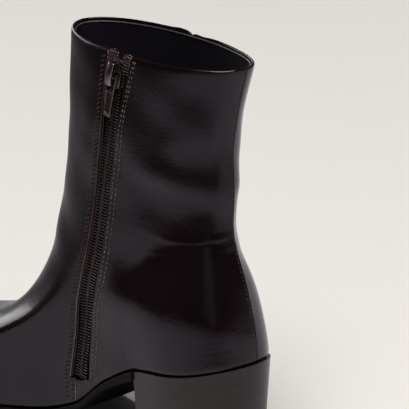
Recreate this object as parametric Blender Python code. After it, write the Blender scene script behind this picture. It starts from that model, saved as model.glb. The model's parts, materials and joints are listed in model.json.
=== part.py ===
"""Heeled ankle boot for the right foot, with a block heel and a zip on the inner side.

Blender units are metres with +Z up. The toe points along -Y and the inner side of the foot is +X.
Table sizes are millimetres: distance forward from the back of the heel seat, half widths out from
the centre line (medial is the inner side, lateral the outer) and height above the floor.
A place on the upper is an angle round the foot (0 at the back, a quarter turn at the inner side,
half a turn at the toe) and a level (0 at the feather line, where upper meets sole, 1 at the collar).
"""
import math
from collections import namedtuple

import bmesh
import bpy
import numpy as np
from mathutils import Matrix, Vector

MM = 0.001

# Driving sizes
FOOT_LENGTH = 246.0
HEEL_SEAT_HEIGHT = 57.7
TOE_HEIGHT = 14.0
COLLAR_HEIGHT = 202.5
HEEL_SEAT_RADIUS = 29.0
TOE_RADIUS = 16.0
UPPER_WALL = 2.0
GAP = 0.3
SEAT_GAP = 0.45

# Height of the feather line along the foot: heel seat, arch, ball and toe spring
FeatherPoint = namedtuple("FeatherPoint", "distance height")
FEATHER_LINE = (
    FeatherPoint(0.0, HEEL_SEAT_HEIGHT),
    FeatherPoint(26.0, 51.5),
    FeatherPoint(52.0, 47.7),
    FeatherPoint(75.0, 36.0),
    FeatherPoint(98.0, 18.2),
    FeatherPoint(122.0, 10.2),
    FeatherPoint(145.0, 7.3),
    FeatherPoint(170.0, 6.0),
    FeatherPoint(205.0, 8.0),
    FeatherPoint(FOOT_LENGTH, TOE_HEIGHT),
)

# Half widths of the sole along the foot
OutlinePoint = namedtuple("OutlinePoint", "distance medial lateral")
SOLE_OUTLINE = (
    OutlinePoint(28.0, 28.0, 27.0),
    OutlinePoint(60.0, 26.6, 28.0),
    OutlinePoint(100.0, 24.8, 31.0),
    OutlinePoint(135.0, 31.0, 38.0),
    OutlinePoint(165.0, 38.5, 42.0),
    OutlinePoint(185.0, 38.5, 39.5),
    OutlinePoint(215.0, 29.5, 29.0),
)

# Sections of the last, each a loop round the foot that steers the upper's surface
Section = namedtuple(
    "Section",
    "name back_distance back_height front_distance front_height toe_swing"
    " medial lateral skew fullness sole_share rise",
)
LAST_SECTIONS = (
    Section("feather", 0.0, HEEL_SEAT_HEIGHT, FOOT_LENGTH, TOE_HEIGHT, 6.0, 30.0, 32.0, 0.0, 0.0, 1.0, 0.0),
    Section("wall", 3.5, 85.5, 252.0, 33.0, 6.0, 33.0, 33.5, -0.10, 0.10, 0.9, 0.0),
    Section("vamp", 20.0, 112.5, 176.0, 36.0, 4.0, 27.5, 27.5, -0.18, -0.06, 0.4, 0.0),
    Section("instep", 17.0, 129.0, 132.0, 67.5, 2.0, 26.0, 26.0, -0.15, -0.03, 0.1, 0.0),
    Section("ankle", 14.0, 148.0, 120.0, 126.0, 0.0, 24.7, 24.7, -0.07, -0.05, 0.0, 0.0),
    Section("shaft", 15.0, 174.5, 118.0, 166.0, 0.0, 26.2, 26.2, 0.0, 0.0, 0.0, 0.0),
    Section("collar", 5.0, COLLAR_HEIGHT, 118.0, COLLAR_HEIGHT, 0.0, 23.4, 23.4, 0.02, 0.10, 0.0, 2.1),
)

# The collar stands highest towards the outer front
RISE_ANGLE = math.radians(222.0)

# The zip's opening in the upper: its centre line and half its width, by height
ZipPoint = namedtuple("ZipPoint", "height distance half_opening")
ZIP_LINE = (
    ZipPoint(34.0, 93.0, 6.4),
    ZipPoint(52.0, 90.4, 5.4),
    ZipPoint(76.0, 86.4, 4.8),
    ZipPoint(104.0, 80.5, 4.8),
    ZipPoint(137.0, 76.2, 4.9),
    ZipPoint(164.0, 71.5, 5.2),
    ZipPoint(181.0, 69.5, 6.5),
    ZipPoint(COLLAR_HEIGHT, 66.0, 8.7),
)

# Upper mesh: columns run from the zip's rear edge round the back and toe to its front edge
UPPER_COLUMNS = 72
UPPER_LEVELS = 24
LEVEL_CROWDING = 1.35
ZIP_FOOT_ROW = 2

# Outsole
SolePoint = namedtuple("SolePoint", "distance height")
SOLE_UNDERSIDE = (
    SolePoint(53.0, 42.8),
    SolePoint(75.0, 31.4),
    SolePoint(98.0, 13.7),
    SolePoint(122.0, 5.2),
    SolePoint(140.0, 1.0),
    SolePoint(150.0, 0.0),
    SolePoint(186.0, 0.0),
    SolePoint(212.0, 1.9),
    SolePoint(FOOT_LENGTH, 7.6),
)
SOLE_REAR_DISTANCE = 54.5
SOLE_EDGE = 1.0
SOLE_BEVEL = 1.2
SOLE_STATIONS = 44

# Insole board
INSOLE_INSET = UPPER_WALL + 0.6
INSOLE_THICKNESS = 2.2
INSOLE_STATIONS = 40
TIP_ANGLE = math.radians(4.0)

# Block heel
HEEL_LENGTH = 54.0
HEEL_CENTRE_DISTANCE = 38.0
HEEL_TOP_SCALE = 1.01
HEEL_FLOOR_SCALE = 0.91
HEEL_SHARES = (0.0, 0.02, 0.25, 0.5, 0.75, 0.94, 1.0)
HEEL_FLOOR_BEVEL = 0.985
HEEL_STATIONS = 20

# Zip tape behind the opening and chain between its edges
TAPE_OVERLAP = 6.0
TAPE_THICKNESS = 0.8
TAPE_TOP_MARGIN = 1.5
CHAIN_HALF_WIDTH = 3.9
CHAIN_RECESS = 0.7
CHAIN_TOP_CLEARANCE = 1.2

# Zip slider: a body in the opening and an arched bridge over the pull's crossbar
SLIDER_HEIGHT = 192.8
SLIDER_HALF_LENGTH = 6.7
SLIDER_HALF_WIDTH = 4.4
SLIDER_PROUD = 1.2
BRIDGE_HALF_LENGTH = 5.75
BRIDGE_UPPER_POST = 4.85
BRIDGE_LOWER_POST = 1.4
BRIDGE_HALF_WIDTH = 1.95
BRIDGE_UNDERSIDE = 4.2
BRIDGE_TOP = 5.5

# Zip pull: crossbar, two legs and a tapered tab with a recessed face, hanging a little to the rear
PULL_AXIS_PROUD = SLIDER_PROUD + 0.9
PULL_AXIS_DROP = 0.85
PULL_HALF_THICKNESS = 0.6
PULL_BAR_HALF = 0.55
PULL_LEG_INNER = 2.25
PULL_HALF_WIDTH = 3.2
PULL_FOOT_HALF_WIDTH = 2.2
PULL_FOOT_SHIFT = 1.0
PULL_LEG_LENGTH = 7.8
PULL_LENGTH = 20.5
PULL_FRAME = 1.0
PULL_RECESS = 0.35

# Colours (red, green, blue), roughness and metallic value of each material
Finish = namedtuple("Finish", "colour roughness metallic")
FINISHES = {
    "upper_leather": Finish((0.045, 0.022, 0.026), 0.22, 0.0),
    "outsole_rubber": Finish((0.020, 0.018, 0.018), 0.55, 0.0),
    "heel_block": Finish((0.075, 0.066, 0.062), 0.45, 0.0),
    "insole_lining": Finish((0.024, 0.023, 0.028), 0.85, 0.0),
    "zip_fabric": Finish((0.030, 0.022, 0.020), 0.80, 0.0),
    "zip_coil": Finish((0.060, 0.045, 0.040), 0.45, 0.0),
    "zip_metal": Finish((0.150, 0.120, 0.110), 0.28, 1.0),
}


def smooth_curve(x, places, values):
    """Cubic curve through table values, flat at each peak and valley so that it never overshoots."""
    places = np.asarray(places, float)
    values = np.asarray(values, float)
    step = np.diff(places)
    slope = np.diff(values) / step
    tangent = np.zeros(len(places))
    product = slope[:-1] * slope[1:]
    rising = product > 0
    tangent[1:-1][rising] = 2 * product[rising] / (slope[:-1] + slope[1:])[rising]
    tangent[0] = slope[0]
    tangent[-1] = slope[-1]
    i = np.clip(np.searchsorted(places, x) - 1, 0, len(places) - 2)
    s = np.clip((x - places[i]) / step[i], 0.0, 1.0)
    start = (2 * s**3 - 3 * s**2 + 1) * values[i] + (s**3 - 2 * s**2 + s) * step[i] * tangent[i]
    end = (3 * s**2 - 2 * s**3) * values[i + 1] + (s**3 - s**2) * step[i] * tangent[i + 1]
    return start + end


def column(table, name):
    """One named column of a table."""
    return np.array([getattr(row, name) for row in table])


def feather_height(distance):
    """Height of the feather line at a distance along the foot."""
    return smooth_curve(distance, column(FEATHER_LINE, "distance"), column(FEATHER_LINE, "height"))


def underside_height(distance):
    """Height of the outsole's underside at a distance along the foot."""
    return smooth_curve(distance, column(SOLE_UNDERSIDE, "distance"), column(SOLE_UNDERSIDE, "height"))


def sole_half_width(share, side):
    """Half width of the sole on one side, at a share of the foot's length."""
    places = column(SOLE_OUTLINE, "distance") / FOOT_LENGTH
    round_ends = 2 * np.sqrt(places * (1 - places))
    fullness = column(SOLE_OUTLINE, side) / round_ends
    heel_end = math.sqrt(2 * HEEL_SEAT_RADIUS * FOOT_LENGTH) / 2
    toe_end = math.sqrt(2 * TOE_RADIUS * FOOT_LENGTH) / 2
    places = np.concatenate([[0.0], places, [1.0]])
    fullness = np.concatenate([[heel_end], fullness, [toe_end]])
    return 2 * np.sqrt(np.clip(share * (1 - share), 0, 1)) * smooth_curve(share, places, fullness)


def arch_dip(share):
    """How far the feather line lies above the straight line from its back to its tip."""
    straight = HEEL_SEAT_HEIGHT * (1 - share) + TOE_HEIGHT * share
    return feather_height(share * FOOT_LENGTH) - straight


def section_loop(section, angle):
    """Points of one section of the last at angles round the foot."""
    turn = np.cos(angle)
    share = (1 - turn) / 2
    inner = np.sin(angle) >= 0
    plain = np.where(inner, section.medial, section.lateral) * np.abs(np.sin(angle))
    plain = plain * (1 + section.skew * turn + section.fullness * turn**2)
    soled = np.where(inner, sole_half_width(share, "medial"), sole_half_width(share, "lateral"))
    half = section.sole_share * soled + (1 - section.sole_share) * plain
    across = np.where(inner, half, -half) + section.toe_swing * share**2
    forward = section.back_distance + (section.front_distance - section.back_distance) * share
    height = section.back_height + (section.front_height - section.back_height) * share
    height = height + section.rise * ((1 + np.cos(angle - RISE_ANGLE)) / 2) ** 2
    return np.stack([across, -forward, height + section.sole_share * arch_dip(share)], -1)


def section_weights(level):
    """Clamped cubic spline weight of every section at a level."""
    degree = 3
    spans = len(LAST_SECTIONS) - degree
    knots = np.concatenate([np.zeros(degree), np.linspace(0, 1, spans + 1), np.ones(degree)])
    level = np.clip(level, 0.0, 1.0 - 1e-9)
    weights = [((a <= level) & (level < b)).astype(float) for a, b in zip(knots[:-1], knots[1:])]
    for order in range(1, degree + 1):
        raised = []
        for i in range(len(weights) - 1):
            total = np.zeros_like(level)
            before = knots[i + order] - knots[i]
            after = knots[i + order + 1] - knots[i + 1]
            if before > 0:
                total = total + (level - knots[i]) / before * weights[i]
            if after > 0:
                total = total + (knots[i + order + 1] - level) / after * weights[i + 1]
            raised.append(total)
        weights = raised
    return weights


def last_point(angle, level):
    """Point of the upper's outer face at an angle round the foot and a level."""
    angle, level = np.broadcast_arrays(np.asarray(angle, float), np.asarray(level, float))
    weights = section_weights(level)
    loops = [section_loop(section, angle) for section in LAST_SECTIONS]
    return sum(weight[..., None] * loop for weight, loop in zip(weights, loops))


def last_normal(angle, level):
    """Outward unit normal of the upper's outer face."""
    step = 1e-4
    level = np.clip(level, step, 1 - step)
    along = last_point(angle + step, level) - last_point(angle - step, level)
    up = last_point(angle, level + step) - last_point(angle, level - step)
    normal = np.cross(up, along)
    return normal / np.linalg.norm(normal, axis=-1, keepdims=True)


def wall_point(angle, level, depth):
    """Point at a depth below the upper's outer face."""
    return last_point(angle, level) - depth * last_normal(angle, level)


def zip_angle(level, offset_shares, offset=0.0):
    """Angle where a level meets the zip line, shifted by shares of its half opening and by millimetres."""
    level = np.asarray(level, float)
    low = np.full(level.shape, math.radians(35))
    high = np.full(level.shape, math.radians(150))
    heights = column(ZIP_LINE, "height")
    for _ in range(40):
        middle = (low + high) / 2
        place = last_point(middle, level)
        centre = smooth_curve(place[..., 2], heights, column(ZIP_LINE, "distance"))
        opening = smooth_curve(place[..., 2], heights, column(ZIP_LINE, "half_opening"))
        ahead = -place[..., 1] > centre + offset_shares * opening + offset
        high = np.where(ahead, middle, high)
        low = np.where(ahead, low, middle)
    return (low + high) / 2


def level_at_height(height):
    """Level at which the zip's centre line reaches a height."""
    levels = np.linspace(0, 1, 2001)
    heights = last_point(zip_angle(levels, 0.0), levels)[:, 2]
    return float(np.interp(height, heights, levels))


def material(name):
    """Principled material of a named finish."""
    made = bpy.data.materials.get(name)
    if made is None:
        finish = FINISHES[name]
        made = bpy.data.materials.new(name)
        made.use_nodes = True
        shader = made.node_tree.nodes["Principled BSDF"]
        shader.inputs["Base Color"].default_value = (*finish.colour, 1.0)
        shader.inputs["Roughness"].default_value = finish.roughness
        shader.inputs["Metallic"].default_value = finish.metallic
    return made


def add_object(name, points, faces, finish, parent, smooth=True):
    """Mesh object from points in millimetres, with its faces turned outwards."""
    mesh = bpy.data.meshes.new(name)
    mesh.from_pydata([tuple(MM * np.asarray(p)) for p in points], [], faces)
    work = bmesh.new()
    work.from_mesh(mesh)
    bmesh.ops.recalc_face_normals(work, faces=work.faces)
    for face in work.faces:
        face.smooth = smooth
    work.to_mesh(mesh)
    work.free()
    mesh.materials.append(material(finish))
    made = bpy.data.objects.new(name, mesh)
    made.parent = parent
    bpy.context.scene.collection.objects.link(made)
    return made


def add_empty(name, location=(0, 0, 0), parent=None):
    """Empty that carries other objects."""
    made = bpy.data.objects.new(name, None)
    made.location = location
    made.parent = parent
    bpy.context.scene.collection.objects.link(made)
    return made


def grid_faces(rows, columns, start=0):
    """Quads of a grid of points numbered row by row."""
    faces = []
    for i in range(rows - 1):
        for j in range(columns - 1):
            a = start + i * columns + j
            faces.append((a, a + 1, a + columns + 1, a + columns))
    return faces


def sheet_solid(outer, inner):
    """Points and faces of a closed sheet between two grids of the same size."""
    rows, columns = outer.shape[:2]
    count = rows * columns
    points = np.concatenate([outer.reshape(-1, 3), inner.reshape(-1, 3)])
    faces = grid_faces(rows, columns) + grid_faces(rows, columns, count)
    border = [(i, 0) for i in range(rows)] + [(rows - 1, j) for j in range(1, columns)]
    border += [(i, columns - 1) for i in range(rows - 2, -1, -1)]
    border += [(0, j) for j in range(columns - 2, 0, -1)]
    rim = [i * columns + j for i, j in border]
    for a, b in zip(rim, rim[1:] + rim[:1]):
        faces.append((a, b, b + count, a + count))
    return points, faces


def lofted_block(rings):
    """Points and faces of a closed block through rings of points, with flat ends."""
    size = len(rings[0])
    points = [p for ring in rings for p in ring]
    faces = []
    for i in range(len(rings) - 1):
        for j in range(size):
            a = i * size + j
            b = i * size + (j + 1) % size
            faces.append((a, b, b + size, a + size))
    faces.append(tuple(range(size)))
    last = (len(rings) - 1) * size
    faces.append(tuple(range(last + size - 1, last - 1, -1)))
    return points, faces


def cell_block(lines, filled):
    """Points and faces of the union of the filled cells between three sets of grid lines."""
    across, along, out = lines
    shape = (len(across) - 1, len(along) - 1, len(out) - 1)
    index = {}
    points = []
    faces = []

    def corner(i, j, k):
        if (i, j, k) not in index:
            index[(i, j, k)] = len(points)
            points.append((across[i], along[j], out[k]))
        return index[(i, j, k)]

    def is_filled(cell):
        inside = all(0 <= n < size for n, size in zip(cell, shape))
        return inside and filled(*cell)

    for i in range(shape[0]):
        for j in range(shape[1]):
            for k in range(shape[2]):
                if not is_filled((i, j, k)):
                    continue
                for axis in range(3):
                    for side in (0, 1):
                        beyond = [i, j, k]
                        beyond[axis] += 2 * side - 1
                        if is_filled(tuple(beyond)):
                            continue
                        ring = []
                        for u, v in ((0, 0), (1, 0), (1, 1), (0, 1)):
                            offset = [u, v]
                            offset.insert(axis, side)
                            ring.append(corner(i + offset[0], j + offset[1], k + offset[2]))
                        faces.append(tuple(ring))
    return points, faces


def build_upper(parent):
    """Hollow upper: outer and inner faces, open at the collar, along the zip and underneath."""
    shares = np.linspace(0, 1, UPPER_LEVELS + 1)
    levels = shares**LEVEL_CROWDING
    rear = zip_angle(levels, -1.0)
    front = zip_angle(levels, 1.0)
    along = np.linspace(0, 1, UPPER_COLUMNS)
    angles = rear[:, None] - along[None] * (2 * math.pi - (front - rear))[:, None]
    grid_levels = np.repeat(levels[:, None], UPPER_COLUMNS, axis=1)
    outer = last_point(angles, grid_levels)
    inner = wall_point(angles, grid_levels, UPPER_WALL)
    inner[0] = feather_rim(angles[0], UPPER_WALL)
    inner[-1, :, 2] = COLLAR_HEIGHT

    rows, columns = outer.shape[:2]
    count = rows * columns
    points = np.concatenate([outer.reshape(-1, 3), inner.reshape(-1, 3)])
    faces = grid_faces(rows, columns) + grid_faces(rows, columns, count)
    last = columns - 1
    for i in range(ZIP_FOOT_ROW):
        for start in (0, count):
            a = start + i * columns
            faces.append((a + last, a, a + columns, a + columns + last))
    for i in range(ZIP_FOOT_ROW, rows - 1):
        for j in (0, last):
            a = i * columns + j
            faces.append((a, a + columns, a + columns + count, a + count))
    foot = ZIP_FOOT_ROW * columns
    faces.append((foot + last, foot, foot + count, foot + last + count))
    top = (rows - 1) * columns
    for j in range(columns - 1):
        faces.append((top + j, top + j + 1, top + j + 1 + count, top + j + count))
        faces.append((j, j + 1, j + 1 + count, j + count))
    faces.append((last, 0, count, last + count))
    return add_object("upper", points, faces, "upper_leather", parent)


def feather_rim(angle, inset):
    """The feather line moved inwards in plan, on the same curved seat."""
    step = 1e-4
    flow = last_point(angle + step, 0.0) - last_point(angle - step, 0.0)
    outward = np.stack([-flow[:, 1], flow[:, 0]], -1)
    outward = outward / np.linalg.norm(outward, axis=-1, keepdims=True)
    rim = last_point(angle, 0.0)
    rim[:, :2] -= inset * outward
    rim[:, 2] = feather_height(-rim[:, 1])
    return rim


def swing(share):
    """Sideways shift of the sole's centre line towards the inner side at the toe."""
    return LAST_SECTIONS[0].toe_swing * share**2


def build_outsole(parent):
    """Outsole from the heel's breast to the toe, with a bevelled lower edge."""
    rear_angle = math.acos(1 - 2 * SOLE_REAR_DISTANCE / FOOT_LENGTH)
    rings = []
    for angle in np.linspace(rear_angle, math.pi - TIP_ANGLE, SOLE_STATIONS):
        share = (1 - math.cos(angle)) / 2
        distance = share * FOOT_LENGTH
        reach = SOLE_EDGE * share**6
        medial = float(sole_half_width(share, "medial")) + SOLE_EDGE
        lateral = float(sole_half_width(share, "lateral")) + SOLE_EDGE
        top = float(feather_height(distance)) - SEAT_GAP
        bottom = float(underside_height(distance))
        levels = (
            (bottom, SOLE_BEVEL),
            (bottom + SOLE_BEVEL, 0.0),
            (top, 0.0),
        )
        inner = [(swing(share) + medial - cut, -distance - reach, z) for z, cut in levels]
        outer = [(swing(share) - lateral + cut, -distance - reach, z) for z, cut in levels]
        rings.append(inner + outer[::-1])
    points, faces = lofted_block(rings)
    return add_object("outsole", points, faces, "outsole_rubber", parent)


def build_insole(parent):
    """Insole board inside the upper, on the sole and the heel seat."""
    rings = []
    for angle in np.linspace(TIP_ANGLE, math.pi - TIP_ANGLE, INSOLE_STATIONS):
        share = (1 - math.cos(angle)) / 2
        distance = INSOLE_INSET + share * (FOOT_LENGTH - 2 * INSOLE_INSET)
        narrow = INSOLE_INSET * min(1.0, math.sin(angle) * 1.6)
        medial = float(sole_half_width(share, "medial")) - narrow
        lateral = float(sole_half_width(share, "lateral")) - narrow
        bottom = float(feather_height(distance))
        levels = (bottom, bottom + INSOLE_THICKNESS)
        inner = [(swing(share) + medial, -distance, z) for z in levels]
        outer = [(swing(share) - lateral, -distance, z) for z in levels]
        rings.append(inner + outer[::-1])
    points, faces = lofted_block(rings)
    return add_object("insole", points, faces, "insole_lining", parent)


def build_heel(parent):
    """Block heel with a dished top under the heel seat, tapering to the floor."""
    breast_angle = math.acos(1 - 2 * HEEL_LENGTH / FOOT_LENGTH)
    rings = []
    for angle in np.linspace(breast_angle, TIP_ANGLE / 2, HEEL_STATIONS):
        share = (1 - math.cos(angle)) / 2
        from_centre = share * FOOT_LENGTH - HEEL_CENTRE_DISTANCE
        sides = {}
        for side, sign in (("medial", 1), ("lateral", -1)):
            half = float(sole_half_width(share, side))
            sides[side] = []
            for height_share in HEEL_SHARES:
                scale = HEEL_FLOOR_SCALE + (HEEL_TOP_SCALE - HEEL_FLOOR_SCALE) * height_share
                if height_share == 0.0:
                    scale *= HEEL_FLOOR_BEVEL
                top_distance = HEEL_CENTRE_DISTANCE + HEEL_TOP_SCALE * from_centre
                top = float(feather_height(top_distance)) - SEAT_GAP
                distance = HEEL_CENTRE_DISTANCE + scale * from_centre
                sides[side].append((sign * scale * half, -distance, height_share * top))
        rings.append(sides["medial"] + sides["lateral"][::-1])
    points, faces = lofted_block(rings)
    return add_object("heel", points, faces, "heel_block", parent)


def zip_strip(levels, edges, depths):
    """Sheet along the zip between two edges, from one depth to another below the upper's outer face."""
    shares = np.linspace(0, 1, 5)
    first = zip_angle(levels, *edges[0])
    second = zip_angle(levels, *edges[1])
    angles = first[:, None] + (second - first)[:, None] * shares[None]
    grid_levels = np.repeat(levels[:, None], len(shares), axis=1)
    outer = wall_point(angles, grid_levels, depths[0])
    inner = wall_point(angles, grid_levels, depths[1])
    return sheet_solid(outer, inner)


def build_zip_tape(parent):
    """Woven tape behind the opening, reaching under both leather edges."""
    foot = (ZIP_FOOT_ROW / UPPER_LEVELS) ** LEVEL_CROWDING
    top = level_at_height(COLLAR_HEIGHT - TAPE_TOP_MARGIN)
    levels = np.linspace(foot, top, 26)
    face = UPPER_WALL + GAP
    edges = ((-1.0, -TAPE_OVERLAP), (1.0, TAPE_OVERLAP))
    points, faces = zip_strip(levels, edges, (face, face + TAPE_THICKNESS))
    return add_object("zip_tape", points, faces, "zip_fabric", parent)


def build_zip_chain(parent):
    """Closed coil of the zip, from its foot up to the slider."""
    foot = (ZIP_FOOT_ROW / UPPER_LEVELS) ** LEVEL_CROWDING
    levels = np.linspace(
        level_at_height(last_point(zip_angle(foot, 0.0), foot)[2] + 1.5),
        level_at_height(SLIDER_HEIGHT - SLIDER_HALF_LENGTH - CHAIN_TOP_CLEARANCE),
        26,
    )
    edges = ((0.0, -CHAIN_HALF_WIDTH), (0.0, CHAIN_HALF_WIDTH))
    points, faces = zip_strip(levels, edges, (CHAIN_RECESS, UPPER_WALL))
    return add_object("zip_chain", points, faces, "zip_coil", parent)


def slider_frame():
    """Place of the slider on the upper: columns across the zip, up along it and outwards."""
    level = level_at_height(SLIDER_HEIGHT)
    angle = float(zip_angle(level, 0.0))
    step = level_at_height(SLIDER_HEIGHT + 1.0)
    origin = Vector(last_point(angle, level))
    up = Vector(last_point(zip_angle(step, 0.0), step)) - origin
    out = Vector(last_normal(angle, level))
    up = (up - out * up.dot(out)).normalized()
    across = up.cross(out)
    turn = Matrix((across, up, out)).transposed().to_4x4()
    return Matrix.Translation(origin * MM) @ turn


def build_zip_slider(parent, frame):
    """Slider body with its bridge, one solid."""
    across = (-SLIDER_HALF_WIDTH, -BRIDGE_HALF_WIDTH, BRIDGE_HALF_WIDTH, SLIDER_HALF_WIDTH)
    along = (
        -SLIDER_HALF_LENGTH,
        -BRIDGE_HALF_LENGTH,
        BRIDGE_LOWER_POST - BRIDGE_HALF_LENGTH,
        BRIDGE_HALF_LENGTH - BRIDGE_UPPER_POST,
        BRIDGE_HALF_LENGTH,
        SLIDER_HALF_LENGTH,
    )
    out = (-UPPER_WALL, SLIDER_PROUD, BRIDGE_UNDERSIDE, BRIDGE_TOP)

    def filled(i, j, k):
        if k == 0:
            return True
        on_bridge = i == 1 and 1 <= j <= 3
        return on_bridge and (k == 2 or j in (1, 3))

    points, faces = cell_block((across, along, out), filled)
    made = add_object("zip_slider", points, faces, "zip_metal", parent, smooth=False)
    made.matrix_local = frame
    return made


def tapered(point):
    """Point of the pull, narrowed and shifted to the rear towards the tab's foot."""
    across, along, out = point
    share = max(0.0, (-along - PULL_LEG_LENGTH) / (PULL_LENGTH - PULL_LEG_LENGTH))
    narrowing = 1 - share * (1 - PULL_FOOT_HALF_WIDTH / PULL_HALF_WIDTH)
    return (across * narrowing + share * PULL_FOOT_SHIFT, along, out)


def build_zip_pull(parent):
    """Pull tab hanging from its crossbar, in a frame whose origin is on the hinge axis."""
    across = (
        -PULL_HALF_WIDTH,
        -PULL_LEG_INNER,
        PULL_LEG_INNER,
        PULL_HALF_WIDTH,
    )
    along = (
        -PULL_LENGTH,
        -PULL_LENGTH + PULL_FRAME,
        -PULL_LEG_LENGTH - PULL_FRAME,
        -PULL_LEG_LENGTH,
        -PULL_BAR_HALF,
        PULL_BAR_HALF,
    )
    out = (-PULL_HALF_THICKNESS, PULL_HALF_THICKNESS - PULL_RECESS, PULL_HALF_THICKNESS)

    def filled(i, j, k):
        in_window = i == 1 and j == 3
        in_recess = i == 1 and j == 1 and k == 1
        return not in_window and not in_recess

    points, faces = cell_block((across, along, out), filled)
    points = [tapered(point) for point in points]
    return add_object("zip_pull", points, faces, "zip_metal", parent, smooth=False)


def stand_on_origin(boot):
    """Move the boot so that the middle of its box lies over the origin, on the floor."""
    bpy.context.view_layer.update()
    corners = []
    for child in boot.children_recursive:
        if child.type == "MESH":
            corners += [child.matrix_world @ vertex.co for vertex in child.data.vertices]
    low = np.min([tuple(c) for c in corners], axis=0)
    high = np.max([tuple(c) for c in corners], axis=0)
    boot.location = (-(low[0] + high[0]) / 2, -(low[1] + high[1]) / 2, -low[2])
    bpy.context.view_layer.update()


def build():
    """Clear the scene and build the boot."""
    for old in list(bpy.data.objects):
        bpy.data.objects.remove(old, do_unlink=True)
    boot = add_empty("boot")
    build_upper(boot)
    build_insole(boot)
    build_outsole(boot)
    build_heel(boot)
    build_zip_tape(boot)
    build_zip_chain(boot)
    frame = slider_frame()
    build_zip_slider(boot, frame)
    hinge = add_empty("pull_hinge", parent=boot)
    hinge.matrix_local = frame @ Matrix.Translation((0, -PULL_AXIS_DROP * MM, PULL_AXIS_PROUD * MM))
    build_zip_pull(hinge)
    stand_on_origin(boot)


build()
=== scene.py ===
"""Looks of the heeled ankle boot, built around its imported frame.

Sizes are millimetres in the boot's own axes: x towards the inner (medial) side, y backwards from the back of
the heel seat, z above the floor. A place on the upper is an angle round the foot (0 at the back seam, a
quarter turn at the inner side, half a turn at the toe) and a level (0 where the upper meets the sole, 1 at
the collar). to_frame turns such points into the frame's metres.
"""
import json
import math
from collections import namedtuple

import bmesh
import bpy
import numpy as np
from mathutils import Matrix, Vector


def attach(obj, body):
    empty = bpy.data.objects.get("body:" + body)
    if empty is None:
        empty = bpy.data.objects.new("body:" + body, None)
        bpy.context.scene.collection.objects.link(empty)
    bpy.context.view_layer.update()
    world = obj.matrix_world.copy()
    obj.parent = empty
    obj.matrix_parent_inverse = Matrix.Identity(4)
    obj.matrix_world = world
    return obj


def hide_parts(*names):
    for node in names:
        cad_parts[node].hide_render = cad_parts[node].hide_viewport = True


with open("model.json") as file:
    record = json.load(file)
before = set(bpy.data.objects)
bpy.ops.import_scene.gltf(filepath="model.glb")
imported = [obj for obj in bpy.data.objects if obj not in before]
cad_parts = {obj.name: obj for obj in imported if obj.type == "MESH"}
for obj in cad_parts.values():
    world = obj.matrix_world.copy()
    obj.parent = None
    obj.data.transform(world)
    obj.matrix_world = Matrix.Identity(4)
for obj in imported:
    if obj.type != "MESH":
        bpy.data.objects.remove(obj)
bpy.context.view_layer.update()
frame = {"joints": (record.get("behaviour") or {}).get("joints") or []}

MM = 0.001
WELD = 1e-6


def table(columns, *rows):
    """Rows of values under named columns."""
    row_type = namedtuple("Row", columns)
    return [row_type(*row) for row in rows]


# The last, as in the part's source
FOOT_LENGTH = 246.0
HEEL_SEAT_HEIGHT = 57.7
TOE_HEIGHT = 14.0
COLLAR_HEIGHT = 202.5
HEEL_SEAT_RADIUS = 29.0
TOE_RADIUS = 16.0
SEAT_GAP = 0.45

FEATHER_LINE = table(
    "distance height",
    (0.0, HEEL_SEAT_HEIGHT), (26.0, 51.5), (52.0, 47.7), (75.0, 36.0), (98.0, 18.2), (122.0, 10.2),
    (145.0, 7.3), (170.0, 6.0), (205.0, 8.0), (FOOT_LENGTH, TOE_HEIGHT),
)

SOLE_OUTLINE = table(
    "distance medial lateral",
    (28.0, 28.0, 27.0), (60.0, 26.6, 28.0), (100.0, 24.8, 31.0), (135.0, 31.0, 38.0),
    (165.0, 38.5, 42.0), (185.0, 38.5, 39.5), (215.0, 29.5, 29.0),
)

LAST_SECTIONS = table(
    "name back_distance back_height front_distance front_height toe_swing"
    " medial lateral skew fullness sole_share rise",
    ("feather", 0.0, HEEL_SEAT_HEIGHT, FOOT_LENGTH, TOE_HEIGHT, 6.0, 30.0, 32.0, 0.0, 0.0, 1.0, 0.0),
    ("wall", 3.5, 85.5, 252.0, 33.0, 6.0, 33.0, 33.5, -0.10, 0.10, 0.9, 0.0),
    ("vamp", 20.0, 112.5, 176.0, 36.0, 4.0, 27.5, 27.5, -0.18, -0.06, 0.4, 0.0),
    ("instep", 17.0, 129.0, 132.0, 67.5, 2.0, 26.0, 26.0, -0.15, -0.03, 0.1, 0.0),
    ("ankle", 14.0, 148.0, 120.0, 126.0, 0.0, 24.7, 24.7, -0.07, -0.05, 0.0, 0.0),
    ("shaft", 15.0, 174.5, 118.0, 166.0, 0.0, 26.2, 26.2, 0.0, 0.0, 0.0, 0.0),
    ("collar", 5.0, COLLAR_HEIGHT, 118.0, COLLAR_HEIGHT, 0.0, 23.4, 23.4, 0.02, 0.10, 0.0, 2.1),
)
RISE_ANGLE = math.radians(222.0)

ZIP_LINE = table(
    "height distance half_opening",
    (34.0, 93.0, 6.4), (52.0, 90.4, 5.4), (76.0, 86.4, 4.8), (104.0, 80.5, 4.8), (137.0, 76.2, 4.9),
    (164.0, 71.5, 5.2), (181.0, 69.5, 6.5), (COLLAR_HEIGHT, 66.0, 8.7),
)
ZIP_SIDE = (math.radians(35.0), math.radians(150.0))
HALVINGS = 40
ZIP_STEP = 0.5
# The zip's foot lies level: it is higher up the leather at its front corner than at its rear one
FOOT_FRONT_LEVEL = 0.044
FOOT_REAR_LEVEL = 0.021
FOOT_ROW = 0.035

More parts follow.
